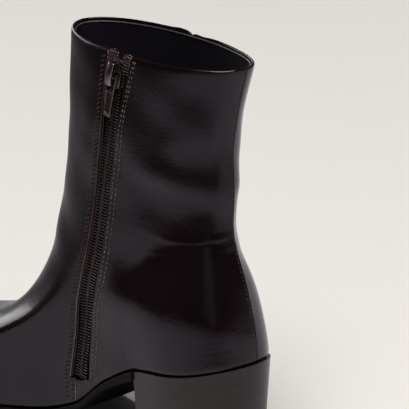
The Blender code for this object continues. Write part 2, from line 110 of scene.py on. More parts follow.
SOLE_UNDERSIDE = table(
    "distance height",
    (53.0, 42.8), (75.0, 31.4), (98.0, 13.7), (122.0, 5.2), (140.0, 1.0), (150.0, 0.0), (186.0, 0.0),
    (212.0, 1.9), (FOOT_LENGTH, 7.6),
)
SOLE_REAR_DISTANCE = 54.5
SOLE_EDGE = 1.0
HEEL_LENGTH = 54.0
HEEL_CENTRE_DISTANCE = 38.0
HEEL_TOP_SCALE = 1.01
HEEL_FLOOR_SCALE = 0.91
TIP_ANGLE = math.radians(4.0)

# Slider and pull, as in the part's source
SLIDER_HEIGHT = 192.8
SLIDER_HALF_LENGTH = 6.7
SLIDER_HALF_WIDTH = 4.4
SLIDER_PROUD = 1.2
BRIDGE_HALF_LENGTH = 5.75
BRIDGE_UPPER_POST = 4.85
BRIDGE_LOWER_POST = 1.4
BRIDGE_HALF_WIDTH = 1.95
BRIDGE_UNDERSIDE = 4.2
BRIDGE_TOP = 5.5
PULL_AXIS_PROUD = SLIDER_PROUD + 0.9
PULL_AXIS_DROP = 0.85
PULL_HALF_THICKNESS = 0.6
PULL_BAR_HALF = 0.55
PULL_LEG_INNER = 2.25
PULL_HALF_WIDTH = 3.2
PULL_FOOT_HALF_WIDTH = 2.2
PULL_FOOT_SHIFT = 1.0
PULL_LEG_LENGTH = 7.8
PULL_LENGTH = 20.5

# Leather panels, lining and their rounded edges
LEATHER_THICKNESS = 1.3
SHARP_ANGLE = 50.0
LINING_TOP_DROP = 1.7
EDGE_RADIUS = 0.42
LINING_FACE = 1.35
LINING_THICKNESS = 0.8
LINING_FOOT = 0.004
LINING_EDGE = 2.2
LINING_ROWS = 70
EDGE_STEPS = (0.0, 0.08, 0.2, 0.35, 0.5, 0.65, 0.9, 1.3, 2.0, 3.0)
LEVEL_ROWS = 170
SIDE_SEAM_ANGLE = math.radians(268.0)
FRONT_COLUMNS = 150
INNER_COLUMNS = 80
OUTER_COLUMNS = 70
FOOT_STEP = 2e-4
TUCK = 1.2
TUCK_REACH = 2.4
LAP_WIDTH = 3.4
LAP_LAST_STEP = 2.7
LAP_UNDERLAY = 4.0
UNDERLAY_LENGTH = 20.0
UNDERLAY_COLUMNS = 12
UNDERLAY_SINK = LEATHER_THICKNESS + 0.1

# Soft folds of the leather: place of the crest, half reach round the boot, and profile
FOLDS = table(
    "name angle height reach rise above below tilt bow",
    ("collar flare", 72.0, 203.0, 26.0, 1.3, 20.0, 17.0, 0.0, 0.0),
    ("front swell", 103.0, 168.0, 19.0, 1.0, 18.0, 16.0, 0.0, 0.0),
    ("zip hollow", 66.0, 150.0, 18.0, 1.1, 20.0, 14.0, 0.0, 0.0),
    ("shaft swell", 38.0, 168.0, 20.0, 1.6, 17.0, 9.0, -0.1, 0.0),
    ("upper ankle fold", 36.0, 142.0, 38.0, 1.7, 9.0, 6.0, 0.16, 0.0),
    ("lower ankle fold", 36.0, 116.5, 40.0, 1.7, 11.0, 26.0, -0.03, 0.002),
    ("ankle wrinkle", 30.0, 116.0, 34.0, 0.22, 2.2, 1.7, -0.03, 0.002),
    ("fine wrinkle", 20.0, 110.6, 34.0, 0.12, 1.2, 1.2, -0.07, 0.0),
    ("heel counter", 46.0, 79.0, 40.0, 2.4, 20.0, 16.0, 0.0, 0.003),
    ("counter front", 62.0, 84.0, 17.0, 1.0, 18.0, 14.0, 0.0, 0.0),
    ("outer ankle fold", -44.0, 138.0, 34.0, 0.6, 8.0, 5.0, 0.05, 0.003),
    ("outer low fold", -40.0, 113.0, 30.0, 0.5, 8.0, 4.5, -0.04, 0.002),
    ("instep fold", 180.0, 104.0, 50.0, 0.5, 9.0, 6.0, 0.0, -0.002),
)

# Slow waves of the leather: turns round the boot, radians to the millimetre up it, start and size
WAVES = table(
    "turns rise start size",
    (5, 0.11, 0.4, 0.16), (-7, 0.17, 2.1, 0.10), (11, 0.09, 4.0, 0.05), (-3, 0.26, 1.2, 0.07),
    (9, -0.31, 5.1, 0.035),
)
FOLD_WOBBLE = 0.35
LONG_WOBBLE = 7.3
SHORT_WOBBLE = 3.1
SHORT_WOBBLE_SHARE = 0.6
COLLAR_TURN = 0.4
COLLAR_TURN_REACH = 3.0
SEAM_DIP = 0.9
SEAM_DIP_SIZE = (1.6, 3.0)
SEAM_BULGE = 0.6
SEAM_BULGE_AWAY = 7.0
SEAM_BULGE_SIZE = (5.0, 6.0)

# Pinched back seam: how far it stands out, and how far it wanders to the outer side
BACK_SEAM = table(
    "height proud degrees",
    (57.0, 0.0, -2.2), (75.0, 1.0, -2.3), (94.0, 1.8, -2.6), (112.0, 2.2, -2.8), (124.0, 2.0, -2.6),
    (138.0, 1.0, -2.0), (162.0, 0.3, -1.3), (205.0, 0.0, -1.0),
)
RIDGE_WIDTH = 7.0

# Stitches: their size, how much they vary, and where their rows run
STITCH_LENGTH = 1.6
STITCH_SLIP = 0.07
STITCH_STRAY = 0.08
STITCH_SCALES = (0.85, 1.1)
STITCH_FOOT = 0.012
LAP_STITCH_FOOT = 0.006
STITCH_TOP_DROP = 1.2
FRONT_ROW_INSETS = (1.6, 2.9)
REAR_ROW_INSET = 2.4
REAR_ROW_GAP = 2.5
REAR_ROW_LOSS = 1.2
REAR_ROW_HEIGHTS = (135.0, 190.0)
SEAM_ROW_TURN = 0.022

# Edges of the zip's opening, and its tape's frayed ends
BEAD_RADIUS = 0.36
BEAD_SINK = 0.45
FOLDED_RADIUS = 0.5
FOLDED_SINK = 1.3
TAPE_END_ROWS = 44
TAPE_END_COLUMNS = 34
TAPE_END_LENGTH = 9.0
WEAVE_RATE = 4.4
WEAVE_DEPTH = 0.24
WEAVE_SCATTER = 0.06
FIBRES = 46
FIBRE_ZONE = 7.0
FIBRE_LENGTHS = (0.7, 1.7)
FIBRE_RADIUS = 0.07

# Sock on the insole
SOCK_INSET = 2.7
SOCK_THICKNESS = 2.1
SOCK_DISH = 0.5

# Coil of the zip
COIL_PITCH = 1.56
COIL_STEPS = 14
COIL_CENTRE = 1.45
COIL_HALF_WIDTH = 2.25
COIL_HALF_DEPTH = 0.7
COIL_DIP = 0.1
COIL_DEPTH = 1.25
FILAMENT_RADIUS = 0.23
COIL_SPLIT = 1.9
TAPE_DEPTH = 2.2
TAPE_THICKNESS = 0.6
TAPE_OVERLAP = 5.0

# Floor as the leather reflects it, with painted shade: shares of its brightness by distance in metres
FLOOR_REACH = 2.0
INNER_FLOOR = (
    (0.16, 0.72), (0.28, 0.62), (0.40, 0.54), (0.50, 0.33), (0.62, 0.20), (0.85, 0.11), (1.2, 0.05),
)
REAR_FLOOR = (
    (0.14, 0.55), (0.24, 0.66), (0.32, 0.80), (0.50, 0.60), (0.85, 0.46), (1.10, 0.20), (1.9, 0.08),
)
FRONT_FLOOR = ((0.20, 0.40), (0.36, 0.40), (0.50, 0.27), (0.70, 0.17), (1.0, 0.12))
FAR_FLOOR = ((0.0, 0.95), (FLOOR_REACH, 0.95))
# Headings, in degrees from the inner side, between which each table takes over from the inner side's
FLOOR_SIDES = table(
    "start full shares",
    (60.0, 95.0, REAR_FLOOR),
    (-50.0, -76.0, FRONT_FLOOR),
    (125.0, 160.0, FAR_FLOOR),
    (-115.0, -150.0, FAR_FLOOR),
)
FLOOR_TINT = (0.80, 0.765, 0.80, 1.0)
# Painted shadow round the boot in the floor's reflected colour: brightness kept in it, reach in metres, and
# squeeze
SHADOW_SHARE = 0.3
SHADOW_REACH = (0.06, 0.11)
SHADOW_SQUEEZE = (2.7, 1.0, 1.0)
FLOOR_SIZE = 12.0
FLOOR_DROP = -0.0002

# Room that the leather reflects: low glow, dark side, a soft pane of light, and what the camera sees
GLOW = ((0.0, (0.44, 0.43, 0.45)), (0.07, (0.24, 0.235, 0.245)), (0.2, (0.06, 0.057, 0.06)))
DUSK = (0.055, 0.05, 0.055, 1.0)
DARK_TURN = 20.0
DARK_EDGE = (0.45, -0.1)
PANE = (0.19, 0.175, 0.19, 1.0)
PANE_TURN = 50.0
PANE_SIDES = (0.970, 0.998)
PANE_FOOT = (0.0, 0.12)
BACKDROP = (0.79, 0.767, 0.722, 1.0)
LIGHT_AIM = (0.0, 0.0, 0.1)

# Photograph's camera: turn from the inner side towards the back, rise, and the point aimed at
CAMERA_TURN = math.radians(45.0)
CAMERA_RISE = math.radians(18.2)
CAMERA_DISTANCE = 2200.0
CAMERA_TARGET = (0.0, -45.0, 130.0)
AIM_RIGHT = 8.62
AIM_DOWN = 2.9
PIXELS_PER_MM = 2.1
PICTURE_PIXELS = 409
SENSOR = 36.0
CAMERA_REACH = 50.0


# Surface of the last
def smooth_curve(x, places, values):
    """Cubic curve through table values, flat at each peak and valley so that it never overshoots."""
    places = np.asarray(places, float)
    values = np.asarray(values, float)
    step = np.diff(places)
    slope = np.diff(values) / step
    tangent = np.zeros(len(places))
    product = slope[:-1] * slope[1:]
    rising = product > 0
    tangent[1:-1][rising] = 2 * product[rising] / (slope[:-1] + slope[1:])[rising]
    tangent[0] = slope[0]
    tangent[-1] = slope[-1]
    i = np.clip(np.searchsorted(places, x) - 1, 0, len(places) - 2)
    s = np.clip((x - places[i]) / step[i], 0.0, 1.0)
    start = (2 * s**3 - 3 * s**2 + 1) * values[i] + (s**3 - 2 * s**2 + s) * step[i] * tangent[i]
    end = (3 * s**2 - 2 * s**3) * values[i + 1] + (s**3 - s**2) * step[i] * tangent[i + 1]
    return start + end


def column(rows, name):
    """One named column of a table."""
    return np.array([getattr(row, name) for row in rows])


def table_value(rows, name, x):
    """Value of a named column where the table's first column is x, on a smooth curve."""
    return smooth_curve(x, column(rows, rows[0]._fields[0]), column(rows, name))


def feather_height(distance):
    """Height of the feather line at a distance along the foot."""
    return table_value(FEATHER_LINE, "height", distance)


def sole_half_width(share, side):
    """Half width of the sole on one side, at a share of the foot's length."""
    places = column(SOLE_OUTLINE, "distance") / FOOT_LENGTH
    round_ends = 2 * np.sqrt(places * (1 - places))
    fullness = column(SOLE_OUTLINE, side) / round_ends
    heel_end = math.sqrt(2 * HEEL_SEAT_RADIUS * FOOT_LENGTH) / 2
    toe_end = math.sqrt(2 * TOE_RADIUS * FOOT_LENGTH) / 2
    places = np.concatenate([[0.0], places, [1.0]])
    fullness = np.concatenate([[heel_end], fullness, [toe_end]])
    return 2 * np.sqrt(np.clip(share * (1 - share), 0, 1)) * smooth_curve(share, places, fullness)


def arch_dip(share):
    """How far the feather line lies above the straight line from its back to its tip."""
    straight = HEEL_SEAT_HEIGHT * (1 - share) + TOE_HEIGHT * share
    return feather_height(share * FOOT_LENGTH) - straight


def length_share(angle):
    """Share of the foot's length that an angle round it has reached."""
    return (1 - np.cos(angle)) / 2


def collar_share(angle):
    """How much of the collar's rise an angle has, 1 where it stands highest."""
    return ((1 + np.cos(angle - RISE_ANGLE)) / 2) ** 2


def section_loop(section, angle):
    """Points of one section of the last at angles round the foot."""
    turn = np.cos(angle)
    share = length_share(angle)
    inner = np.sin(angle) >= 0
    plain = np.where(inner, section.medial, section.lateral) * np.abs(np.sin(angle))
    plain = plain * (1 + section.skew * turn + section.fullness * turn**2)
    soled = np.where(inner, sole_half_width(share, "medial"), sole_half_width(share, "lateral"))
    half = section.sole_share * soled + (1 - section.sole_share) * plain
    across = np.where(inner, half, -half) + section.toe_swing * share**2
    forward = section.back_distance + (section.front_distance - section.back_distance) * share
    height = section.back_height + (section.front_height - section.back_height) * share
    height = height + section.rise * collar_share(angle)
    return np.stack([across, -forward, height + section.sole_share * arch_dip(share)], -1)


def section_weights(level):
    """Clamped cubic spline weight of every section at a level."""
    degree = 3
    spans = len(LAST_SECTIONS) - degree
    knots = np.concatenate([np.zeros(degree), np.linspace(0, 1, spans + 1), np.ones(degree)])
    level = np.clip(level, 0.0, 1.0 - 1e-9)
    weights = [((a <= level) & (level < b)).astype(float) for a, b in zip(knots[:-1], knots[1:])]
    for order in range(1, degree + 1):
        raised = []
        for i in range(len(weights) - 1):
            total = np.zeros_like(level)
            before = knots[i + order] - knots[i]
            after = knots[i + order + 1] - knots[i + 1]
            if before > 0:
                total = total + (level - knots[i]) / before * weights[i]
            if after > 0:
                total = total + (knots[i + order + 1] - level) / after * weights[i + 1]
            raised.append(total)
        weights = raised
    return weights


def last_point(angle, level):
    """Point of the upper's outer face at an angle round the foot and a level."""
    angle, level = np.broadcast_arrays(np.asarray(angle, float), np.asarray(level, float))
    weights = section_weights(level)
    loops = [section_loop(section, angle) for section in LAST_SECTIONS]
    return sum(weight[..., None] * loop for weight, loop in zip(weights, loops))


def last_normal(angle, level):
    """Outward unit normal of the upper's outer face."""
    step = 1e-4
    level = np.clip(level, step, 1 - step)
    along = last_point(angle + step, level) - last_point(angle - step, level)
    up = last_point(angle, level + step) - last_point(angle, level - step)
    return unit(np.cross(up, along))


def unit(vectors):
    """Vectors scaled to length one."""
    return vectors / np.linalg.norm(vectors, axis=-1, keepdims=True)


def smoothstep(low, high, x):
    """Soft step from 0 at low to 1 at high."""
    share = np.clip((x - low) / (high - low), 0, 1)
    return share * share * (3 - 2 * share)


def half_turned(degrees):
    """Degrees brought to between minus and plus half a turn."""
    return (degrees + 180) % 360 - 180


def fold_relief(angle, height):
    """Height of the leather's soft folds above the last."""
    degrees = np.degrees(angle)
    total = np.zeros(np.broadcast(degrees, height).shape)
    for fold in FOLDS:
        aside = half_turned(degrees - fold.angle)
        wobble = np.sin(aside / LONG_WOBBLE + fold.height)
        wobble = wobble + SHORT_WOBBLE_SHARE * np.sin(aside / SHORT_WOBBLE + 2 * fold.height)
        crest = fold.height + fold.tilt * aside + fold.bow * aside**2 + FOLD_WOBBLE * wobble
        rise = height - crest
        width = np.where(rise > 0, fold.above, fold.below)
        total = total + fold.rise * np.exp(-((rise / width) ** 2)) * np.exp(-((aside / fold.reach) ** 4))
    return total


def wave_relief(angle, height):
    """Height of the leather's slow waves."""
    return sum(wave.size * np.sin(wave.turns * angle + wave.rise * height + wave.start) for wave in WAVES)


def collar_relief(angle, height):
    """How the leather turns inwards under the collar's edge."""
    below = COLLAR_HEIGHT + LAST_SECTIONS[-1].rise * collar_share(angle) - height
    return -COLLAR_TURN * np.clip(1 - below / COLLAR_TURN_REACH, 0, 1) ** 2


def seam_angle(height):
    """Angle of the back seam at a height."""
    return np.radians(table_value(BACK_SEAM, "degrees", height))


def ridge_relief(angle, height):
    """How the leather is pinched outwards along the back seam."""
    aside = np.abs(half_turned(np.degrees(angle - seam_angle(height))))
    return table_value(BACK_SEAM, "proud", height) * np.exp(-aside / RIDGE_WIDTH)


def tuck_relief(angle, height):
    """How the leather turns in under its lower edge, towards the sole."""
    above = height - last_point(angle, 0.0)[..., 2]
    return -TUCK * np.clip(1 - above / TUCK_REACH, 0, 1) ** 2


def leather_point(angle, level, proud=0.0):
    """Point on the leather's outer face, folds included, and the last's normal there."""
    base = last_point(angle, level)
    normal = last_normal(angle, level)
    height = base[..., 2]
    lift = fold_relief(angle, height) + wave_relief(angle, height) + collar_relief(angle, height)
    lift = lift + ridge_relief(angle, height) + tuck_relief(angle, height) + proud
    return base + np.asarray(lift)[..., None] * normal, normal


# Zip line
def zip_angle(level, offset_shares, offset=0.0):
    """Angle where a level meets the zip line, moved ahead by shares of its half opening and millimetres."""
    level = np.asarray(level, float)
    low = np.full(level.shape, ZIP_SIDE[0])
    high = np.full(level.shape, ZIP_SIDE[1])
    for _ in range(HALVINGS):
        middle = (low + high) / 2
        place = last_point(middle, level)
        centre = table_value(ZIP_LINE, "distance", place[..., 2])
        opening = table_value(ZIP_LINE, "half_opening", place[..., 2])
        ahead = -place[..., 1] > centre + offset_shares * opening + offset
        high = np.where(ahead, middle, high)
        low = np.where(ahead, low, middle)
    return (low + high) / 2


ZIP_LEVELS = np.linspace(0, 1, 1001)
ZIP_HEIGHTS = last_point(zip_angle(ZIP_LEVELS, 0.0), ZIP_LEVELS)[:, 2]


def zip_level(height):
    """Level at which the zip's centre line reaches a height."""
    return np.interp(height, ZIP_HEIGHTS, ZIP_LEVELS)


def zip_frames(heights):
    """Places on the zip's centre line with their directions to the rear, up along the zip and outwards."""
    level = zip_level(heights)
    step = zip_level(heights + ZIP_STEP)
    angle = zip_angle(level, 0.0)
    origin = last_point(angle, level)
    out = last_normal(angle, level)
    up = last_point(zip_angle(step, 0.0), step) - origin
    up = unit(up - np.sum(up * out, -1, keepdims=True) * out)
    return origin, np.cross(up, out), up, out


SLIDER_FRAME = [row[0] for row in zip_frames(np.array([SLIDER_HEIGHT]))]


def slider_place(rear, up, out):
    """Points given in the slider's own directions from its place on the zip."""
    origin, to_rear, along, outwards = SLIDER_FRAME
    rear, up, out = (np.asarray(v, float)[..., None] for v in (rear, up, out))
    return origin + rear * to_rear + up * along + out * outwards


HINGE = slider_place(0.0, -PULL_AXIS_DROP, PULL_AXIS_PROUD)
BOOT_SHIFT = np.array(frame["joints"][0]["pos_m"]) / MM - HINGE


def to_frame(points):
    """Points in the boot's millimetres as points in the frame's metres."""
    return (np.asarray(points, float) + BOOT_SHIFT) * MM


# Mesh helpers
def quads(index):
    """Quads between neighbours in a grid of point numbers."""
    corners = np.stack([index[:-1, :-1], index[:-1, 1:], index[1:, 1:], index[1:, :-1]], -1)
    return corners.reshape(-1, 4).tolist()


def sheet_solid(outer, inner):
    """Points and faces of a closed sheet between two grids of the same size."""
    rows, columns = outer.shape[:2]
    count = rows * columns
    index = np.arange(count).reshape(rows, columns)
    faces = quads(index) + quads(index + count)
    rim = [*index[:, 0], *index[-1, 1:], *index[-2::-1, -1], *index[0, -2:0:-1]]
    faces += [(a, b, b + count, a + count) for a, b in zip(rim, rim[1:] + rim[:1])]
    return np.concatenate([outer.reshape(-1, 3), inner.reshape(-1, 3)]), faces


def lofted_block(rings):
    """Points and faces of a closed block through rings of points, with flat ends."""
    rings = np.asarray(rings, float)
    index = np.arange(rings.shape[0] * rings.shape[1]).reshape(rings.shape[:2])
    faces = quads(np.concatenate([index, index[:, :1]], axis=1))
    faces += [index[0].tolist(), index[-1, ::-1].tolist()]
    return rings.reshape(-1, 3), faces


def cell_block(lines, filled):
    """Points and faces of the union of the filled cells between three sets of grid lines."""
    shape = tuple(len(line) - 1 for line in lines)
    index = {}
    points = []
    faces = []

    def corner(place):
        if place not in index:
            index[place] = len(points)
            points.append(tuple(line[n] for line, n in zip(lines, place)))
        return index[place]

    def is_filled(cell):
        inside = all(0 <= n < size for n, size in zip(cell, shape))
        return inside and filled(*cell)

    for cell in np.ndindex(*shape):
        if not is_filled(cell):
            continue
        for axis in range(3):
            for side in (0, 1):
                beyond = list(cell)
                beyond[axis] += 2 * side - 1
                if is_filled(beyond):
                    continue
                ring = []
                for u, v in ((0, 0), (1, 0), (1, 1), (0, 1)):
                    offset = [u, v]
                    offset.insert(axis, side)
                    ring.append(corner(tuple(n + o for n, o in zip(cell, offset))))
                faces.append(tuple(ring))
    return np.array(points), faces


def joined(parts):
    """Several sets of points and faces as one."""
    points = []
    faces = []
    start = 0
    for part_points, part_faces in parts:
        points.append(np.asarray(part_points, float))
        faces += [tuple(start + i for i in face) for face in part_faces]
        start += len(part_points)
    return np.concatenate(points), faces


def tube(path, reference, radius, sides):
    """Points and faces of a closed round tube along a path; reference is never parallel to it."""
    tangent = unit(np.gradient(path, axis=0))
    first = unit(np.cross(tangent, reference))
    second = np.cross(tangent, first)
    turn = np.linspace(0, 2 * math.pi, sides, endpoint=False)
    ring = np.cos(turn)[None, :, None] * first[:, None] + np.sin(turn)[None, :, None] * second[:, None]
    return lofted_block(path[:, None] + np.reshape(radius, (-1, 1, 1)) * ring)


def trim_fins(work):
    """Delete flat faces that stick out of a closed surface with a free edge, until none is left."""
    free = [edge for edge in work.edges if len(edge.link_faces) == 1]
    while free:
        for face in list(free.pop().link_faces):
            around = list(face.edges)
            work.faces.remove(face)
            free += [edge for edge in around if len(edge.link_faces) == 1]
    bare = [edge for edge in work.edges if not edge.link_faces]
    bmesh.ops.delete(work, geom=bare, context="EDGES")


def fan_volume(face, middle):
    """Six times the volume between a face and a point."""
    corners = [vertex.co - middle for vertex in face.verts]
    return sum(corners[0].dot(a.cross(b)) for a, b in zip(corners[1:], corners[2:]))


def face_outwards(work):
    """Turn round every closed island of a mesh whose faces look inwards."""
    seen = set()
    for face in work.faces:
        if face in seen:
            continue
        seen.add(face)
        island = [face]
        for current in island:
            for edge in current.edges:
                fresh = [near for near in edge.link_faces if near not in seen]
                seen.update(fresh)
                island += fresh
        middle = face.verts[0].co.copy()
        if sum(fan_volume(part, middle) for part in island) < 0:
            bmesh.ops.reverse_faces(work, faces=island)


def linked(name, data):
    """New object in the scene."""
    made = bpy.data.objects.new(name, data)
    bpy.context.scene.collection.objects.link(made)
    return made


def add_piece(name, shape, finish, replaces=(), body="boot", sharp=None):
    """Mesh object from points and faces in the boot's millimetres, riding on a body."""
    points, faces = shape
    mesh = bpy.data.meshes.new(name)
    mesh.from_pydata(to_frame(points).tolist(), [], faces)
    work = bmesh.new()
    work.from_mesh(mesh)
    bmesh.ops.remove_doubles(work, verts=work.verts, dist=WELD)
    bmesh.ops.dissolve_degenerate(work, dist=WELD, edges=work.edges)
    trim_fins(work)
    bmesh.ops.recalc_face_normals(work, faces=work.faces)
    face_outwards(work)
    for face in work.faces:
        face.smooth = True
    work.to_mesh(mesh)
    work.free()
    if sharp is not None:
        mesh.set_sharp_from_angle(angle=math.radians(sharp))
    mesh.materials.append(finish)
    piece = linked(name, mesh)
    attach(piece, body)
    if replaces:
        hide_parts(*replaces)
    return piece


def rounded(piece, width, segments=3, angle=35.0):
    """Round the sharp edges of a hard piece."""
    bevel = piece.modifiers.new("round", "BEVEL")
    bevel.width = width * MM
    bevel.segments = segments
    bevel.limit_method = "ANGLE"
    bevel.angle_limit = math.radians(angle)
    bevel.use_clamp_overlap = True
    bpy.context.view_layer.update()
    evaluated = piece.evaluated_get(bpy.context.evaluated_depsgraph_get())
    mesh = bpy.data.meshes.new_from_object(evaluated)
    piece.modifiers.clear()
    piece.data = mesh
    mesh.shade_smooth()
    mesh.set_sharp_from_angle(angle=math.radians(SHARP_ANGLE))
    return piece


# Material helpers
def new_material(name):
    """Empty node material with its shader, and its node tree."""
    made = bpy.data.materials.new(name)
    made.use_nodes = True
    return made, made.node_tree, made.node_tree.nodes["Principled BSDF"]


def node(tree, kind, settings=None, **inputs):
    """Node with its settings; an input is a number, a colour or another node's socket."""
    made = tree.nodes.new("ShaderNode" + kind)
    for key, value in (settings or {}).items():
        setattr(made, key, value)
    for key, value in inputs.items():
        socket = made.inputs[int(key[1:]) if key[1:].isdigit() else key.replace("_", " ")]
        connect(tree, value, socket)
    return made


def connect(tree, value, socket):
    """Link a socket to another, or set its value."""
    if isinstance(value, bpy.types.NodeSocket):
        tree.links.new(value, socket)
    else:
        socket.default_value = value


def place_nodes(tree, scale=(1.0, 1.0, 1.0), turn=(0.0, 0.0, 0.0)):
    """Position on the object in metres, stretched and turned."""
    coordinates = node(tree, "TexCoord")
    mapping = node(tree, "Mapping", Vector=coordinates.outputs["Object"], Scale=scale, Rotation=turn)
    return mapping.outputs["Vector"]


def noise(tree, scale, detail=3.0, roughness=0.5, place=None):
    """Noise with about scale lumps to the metre."""
    if place is None:
        place = place_nodes(tree)
    made = node(tree, "TexNoise", Vector=place, Scale=scale, Detail=detail, Roughness=roughness)
    return made.outputs["Fac"]


def ramp(tree, value, stops):
    """Colour ramp from a list of (place, colour)."""
    made = node(tree, "ValToRGB", Fac=value)
    while len(made.color_ramp.elements) < len(stops):
        made.color_ramp.elements.new(0.5)
    for element, (place, colour) in zip(made.color_ramp.elements, stops):
        element.position = place
        element.color = (*colour, 1.0) if len(colour) == 3 else colour
    return made.outputs["Color"]


def spread(tree, value, low, high, new_low, new_high):
    """Value moved from one range to another."""
    made = node(tree, "MapRange", Value=value, From_Min=low, From_Max=high, To_Min=new_low, To_Max=new_high)
    return made.outputs["Result"]


def soft_range(tree, value, low, high):
    """Soft step of a value from 0 at low to 1 at high."""
    settings = {"interpolation_type": "SMOOTHSTEP"}
    return node(tree, "MapRange", settings, Value=value, From_Min=low, From_Max=high).outputs["Result"]


def combined(tree, operation, first, second):
    """Two values joined by a mathematical operation."""
    return node(tree, "Math", {"operation": operation}, i0=first, i1=second).outputs[0]


def vector_math(tree, operation, first, second=(0.0, 0.0, 0.0)):
    """Outputs of an operation on one or two vectors."""
    return node(tree, "VectorMath", {"operation": operation}, i0=first, i1=second).outputs


def mixed(tree, factor, first, second):
    """Two colours or values mixed by a factor."""
    return node(tree, "MixRGB", Fac=factor, Color1=first, Color2=second).outputs["Color"]


def multiplied(tree, first, second):
    """Product of two colours."""
    settings = {"blend_type": "MULTIPLY"}
    return node(tree, "MixRGB", settings, Fac=1.0, Color1=first, Color2=second).outputs["Color"]


def bump(tree, height, distance, strength=1.0, under=None):
    """Surface normal roughened by a height in millimetres."""
    made = node(tree, "Bump", Height=height, Distance=distance * MM, Strength=strength)
    if under is not None:
        connect(tree, under, made.inputs["Normal"])
    return made.outputs["Normal"]


def finish_shader(tree, shader, **inputs):
    """Set or link inputs of the shader."""
    for key, value in inputs.items():
        connect(tree, value, shader.inputs[key.replace("_", " ")])


# Materials
def upper_leather():
    """High-shine burgundy leather, almost black, with brushed polish and fine pores."""
    made, tree, shader = new_material("upper_leather")
    cloud = noise(tree, 26.0, 3.0)
    colour = ramp(tree, cloud, [(0.30, (0.0027, 0.0011, 0.0014)), (0.72, (0.0070, 0.0021, 0.0027))])
    streak_place = place_nodes(tree, (900.0, 900.0, 60.0), (0.35, 0.25, 0.0))
    streaks = noise(tree, 1.0, 4.0, 0.6, streak_place)
    roughness = spread(tree, streaks, 0.3, 0.7, 0.09, 0.17)
    wrinkle_place = place_nodes(tree, (190.0, 190.0, 420.0), (0.0, 0.1, 0.0))
    wrinkles = bump(tree, noise(tree, 1.0, 4.0, 0.6, wrinkle_place), 0.11, 0.6)
    brushed = bump(tree, streaks, 0.10, 0.6, wrinkles)
    crackle = bump(tree, noise(tree, 620.0, 3.0, 0.65), 0.12, 0.6, brushed)
    pores = bump(tree, noise(tree, 1900.0, 3.0, 0.6), 0.02, 0.5, crackle)
    finish_shader(
        tree, shader, Base_Color=colour, Roughness=roughness, Normal=pores, IOR=1.46,
        Specular_Tint=(1.0, 0.94, 1.05, 1.0),
    )
    return made


# Plain finishes: noise that shades them, the shades, and the grain's own noise if any, depth and strength
PLAIN_FINISHES = {
    # Folded edge of the leather, redder and duller than its face
    "edge_leather": {
        "cloud": (700.0, 3.0), "shades": ((0.3, (0.014, 0.004, 0.004)), (0.7, (0.038, 0.012, 0.011))),
        "grain": ((2600.0, 3.0), 0.03, 0.6), "Roughness": 0.5, "Specular_IOR_Level": 0.35,
    },
    # Matt dark lining with a fine nap
    "woven_lining": {
        "cloud": (900.0, 5.0, 0.7),
        "shades": ((0.3, (0.0050, 0.0040, 0.0062)), (0.75, (0.0120, 0.0098, 0.0145))),
        "grain": ((2400.0, 2.0, 0.7), 0.08, 0.7), "Roughness": 0.75, "Specular_IOR_Level": 0.08,
    },
    # Turned edge of the lining, a little lighter and smoother than its face
    "edge_lining": {
        "cloud": (500.0, 3.0), "shades": ((0.3, (0.030, 0.026, 0.030)), (0.7, (0.066, 0.058, 0.066))),
        "grain": (None, 0.03, 0.5), "Roughness": 0.42,
    },
    # Shiny dark brown filament of the coil
    "zip_nylon": {
        "cloud": (500.0, 2.0), "shades": ((0.3, (0.022, 0.014, 0.014)), (0.7, (0.050, 0.035, 0.034))),
        "grain": None, "Roughness": 0.3, "Specular_IOR_Level": 0.5,
    },
    # Blackened plating in the recess of the pull
    "dark_metal": {
        "cloud": (900.0, 3.0, 0.6), "shades": ((0.3, (0.010, 0.007, 0.007)), (0.7, (0.022, 0.016, 0.015))),
        "grain": (None, 0.03, 0.5), "Roughness": 0.5, "Specular_IOR_Level": 0.12,
    },
}


def plain_finish(name):
    """Material of a plain finish."""
    made, tree, shader = new_material(name)
    inputs = dict(PLAIN_FINISHES[name])
    cloud = noise(tree, *inputs.pop("cloud"))
    inputs["Base_Color"] = ramp(tree, cloud, inputs.pop("shades"))
    grain = inputs.pop("grain")
    if grain:
        lumps, depth, strength = grain
        height = noise(tree, *lumps) if lumps else cloud
        inputs["Normal"] = bump(tree, height, depth, strength)
    finish_shader(tree, shader, **inputs)
    return made


# Heights, in metres of the piece's coordinates, where the folded edge's colour turns from painted reflection
# below to its own red-brown above
PAINTED_REFLECTION_HEIGHTS = (0.065, 0.105)


def edge_with_painted_reflection():
    """Folded edge of the leather: its own red-brown higher up, with a pale painted reflection mixed into the
    colour lower down.
    """
    made, tree, shader = new_material("edge_with_painted_reflection")
    cloud = noise(tree, 160.0, 4.0, 0.6)
    # Painted reflection: a pale colour standing in for the light that the lower edge reflects
    painted_reflection_grey = ramp(tree, cloud, [(0.3, (0.048, 0.036, 0.037)), (0.7, (0.130, 0.110, 0.115))])
    brown = ramp(tree, cloud, [(0.3, (0.018, 0.008, 0.007)), (0.7, (0.070, 0.035, 0.031))])
    height = node(tree, "SeparateXYZ", Vector=place_nodes(tree)).outputs["Z"]
    colour = mixed(tree, soft_range(tree, height, *PAINTED_REFLECTION_HEIGHTS), painted_reflection_grey, brown)
    grain = bump(tree, noise(tree, 2600.0, 3.0), 0.03, 0.6)
    finish_shader(tree, shader, Base_Color=colour, Roughness=0.35, Normal=grain)
    return made


def thread(name, dark, light):
    """Twisted sewing thread, worn lighter in places."""
    made, tree, shader = new_material(name)
    fibre = noise(tree, 3000.0, 2.0, 0.6)
    wear = noise(tree, 300.0, 3.0, 0.6)
    fine = spread(tree, fibre, 0.3, 0.7, 0.0, 0.4)
    worn = spread(tree, wear, 0.38, 0.62, 0.0, 0.6)
    colour = ramp(tree, combined(tree, "ADD", fine, worn), [(0.0, dark), (1.0, light)])
    twist = bump(tree, fibre, 0.05, 0.8)
    finish_shader(tree, shader, Base_Color=colour, Roughness=0.5, Normal=twist, Specular_IOR_Level=0.25)
    return made


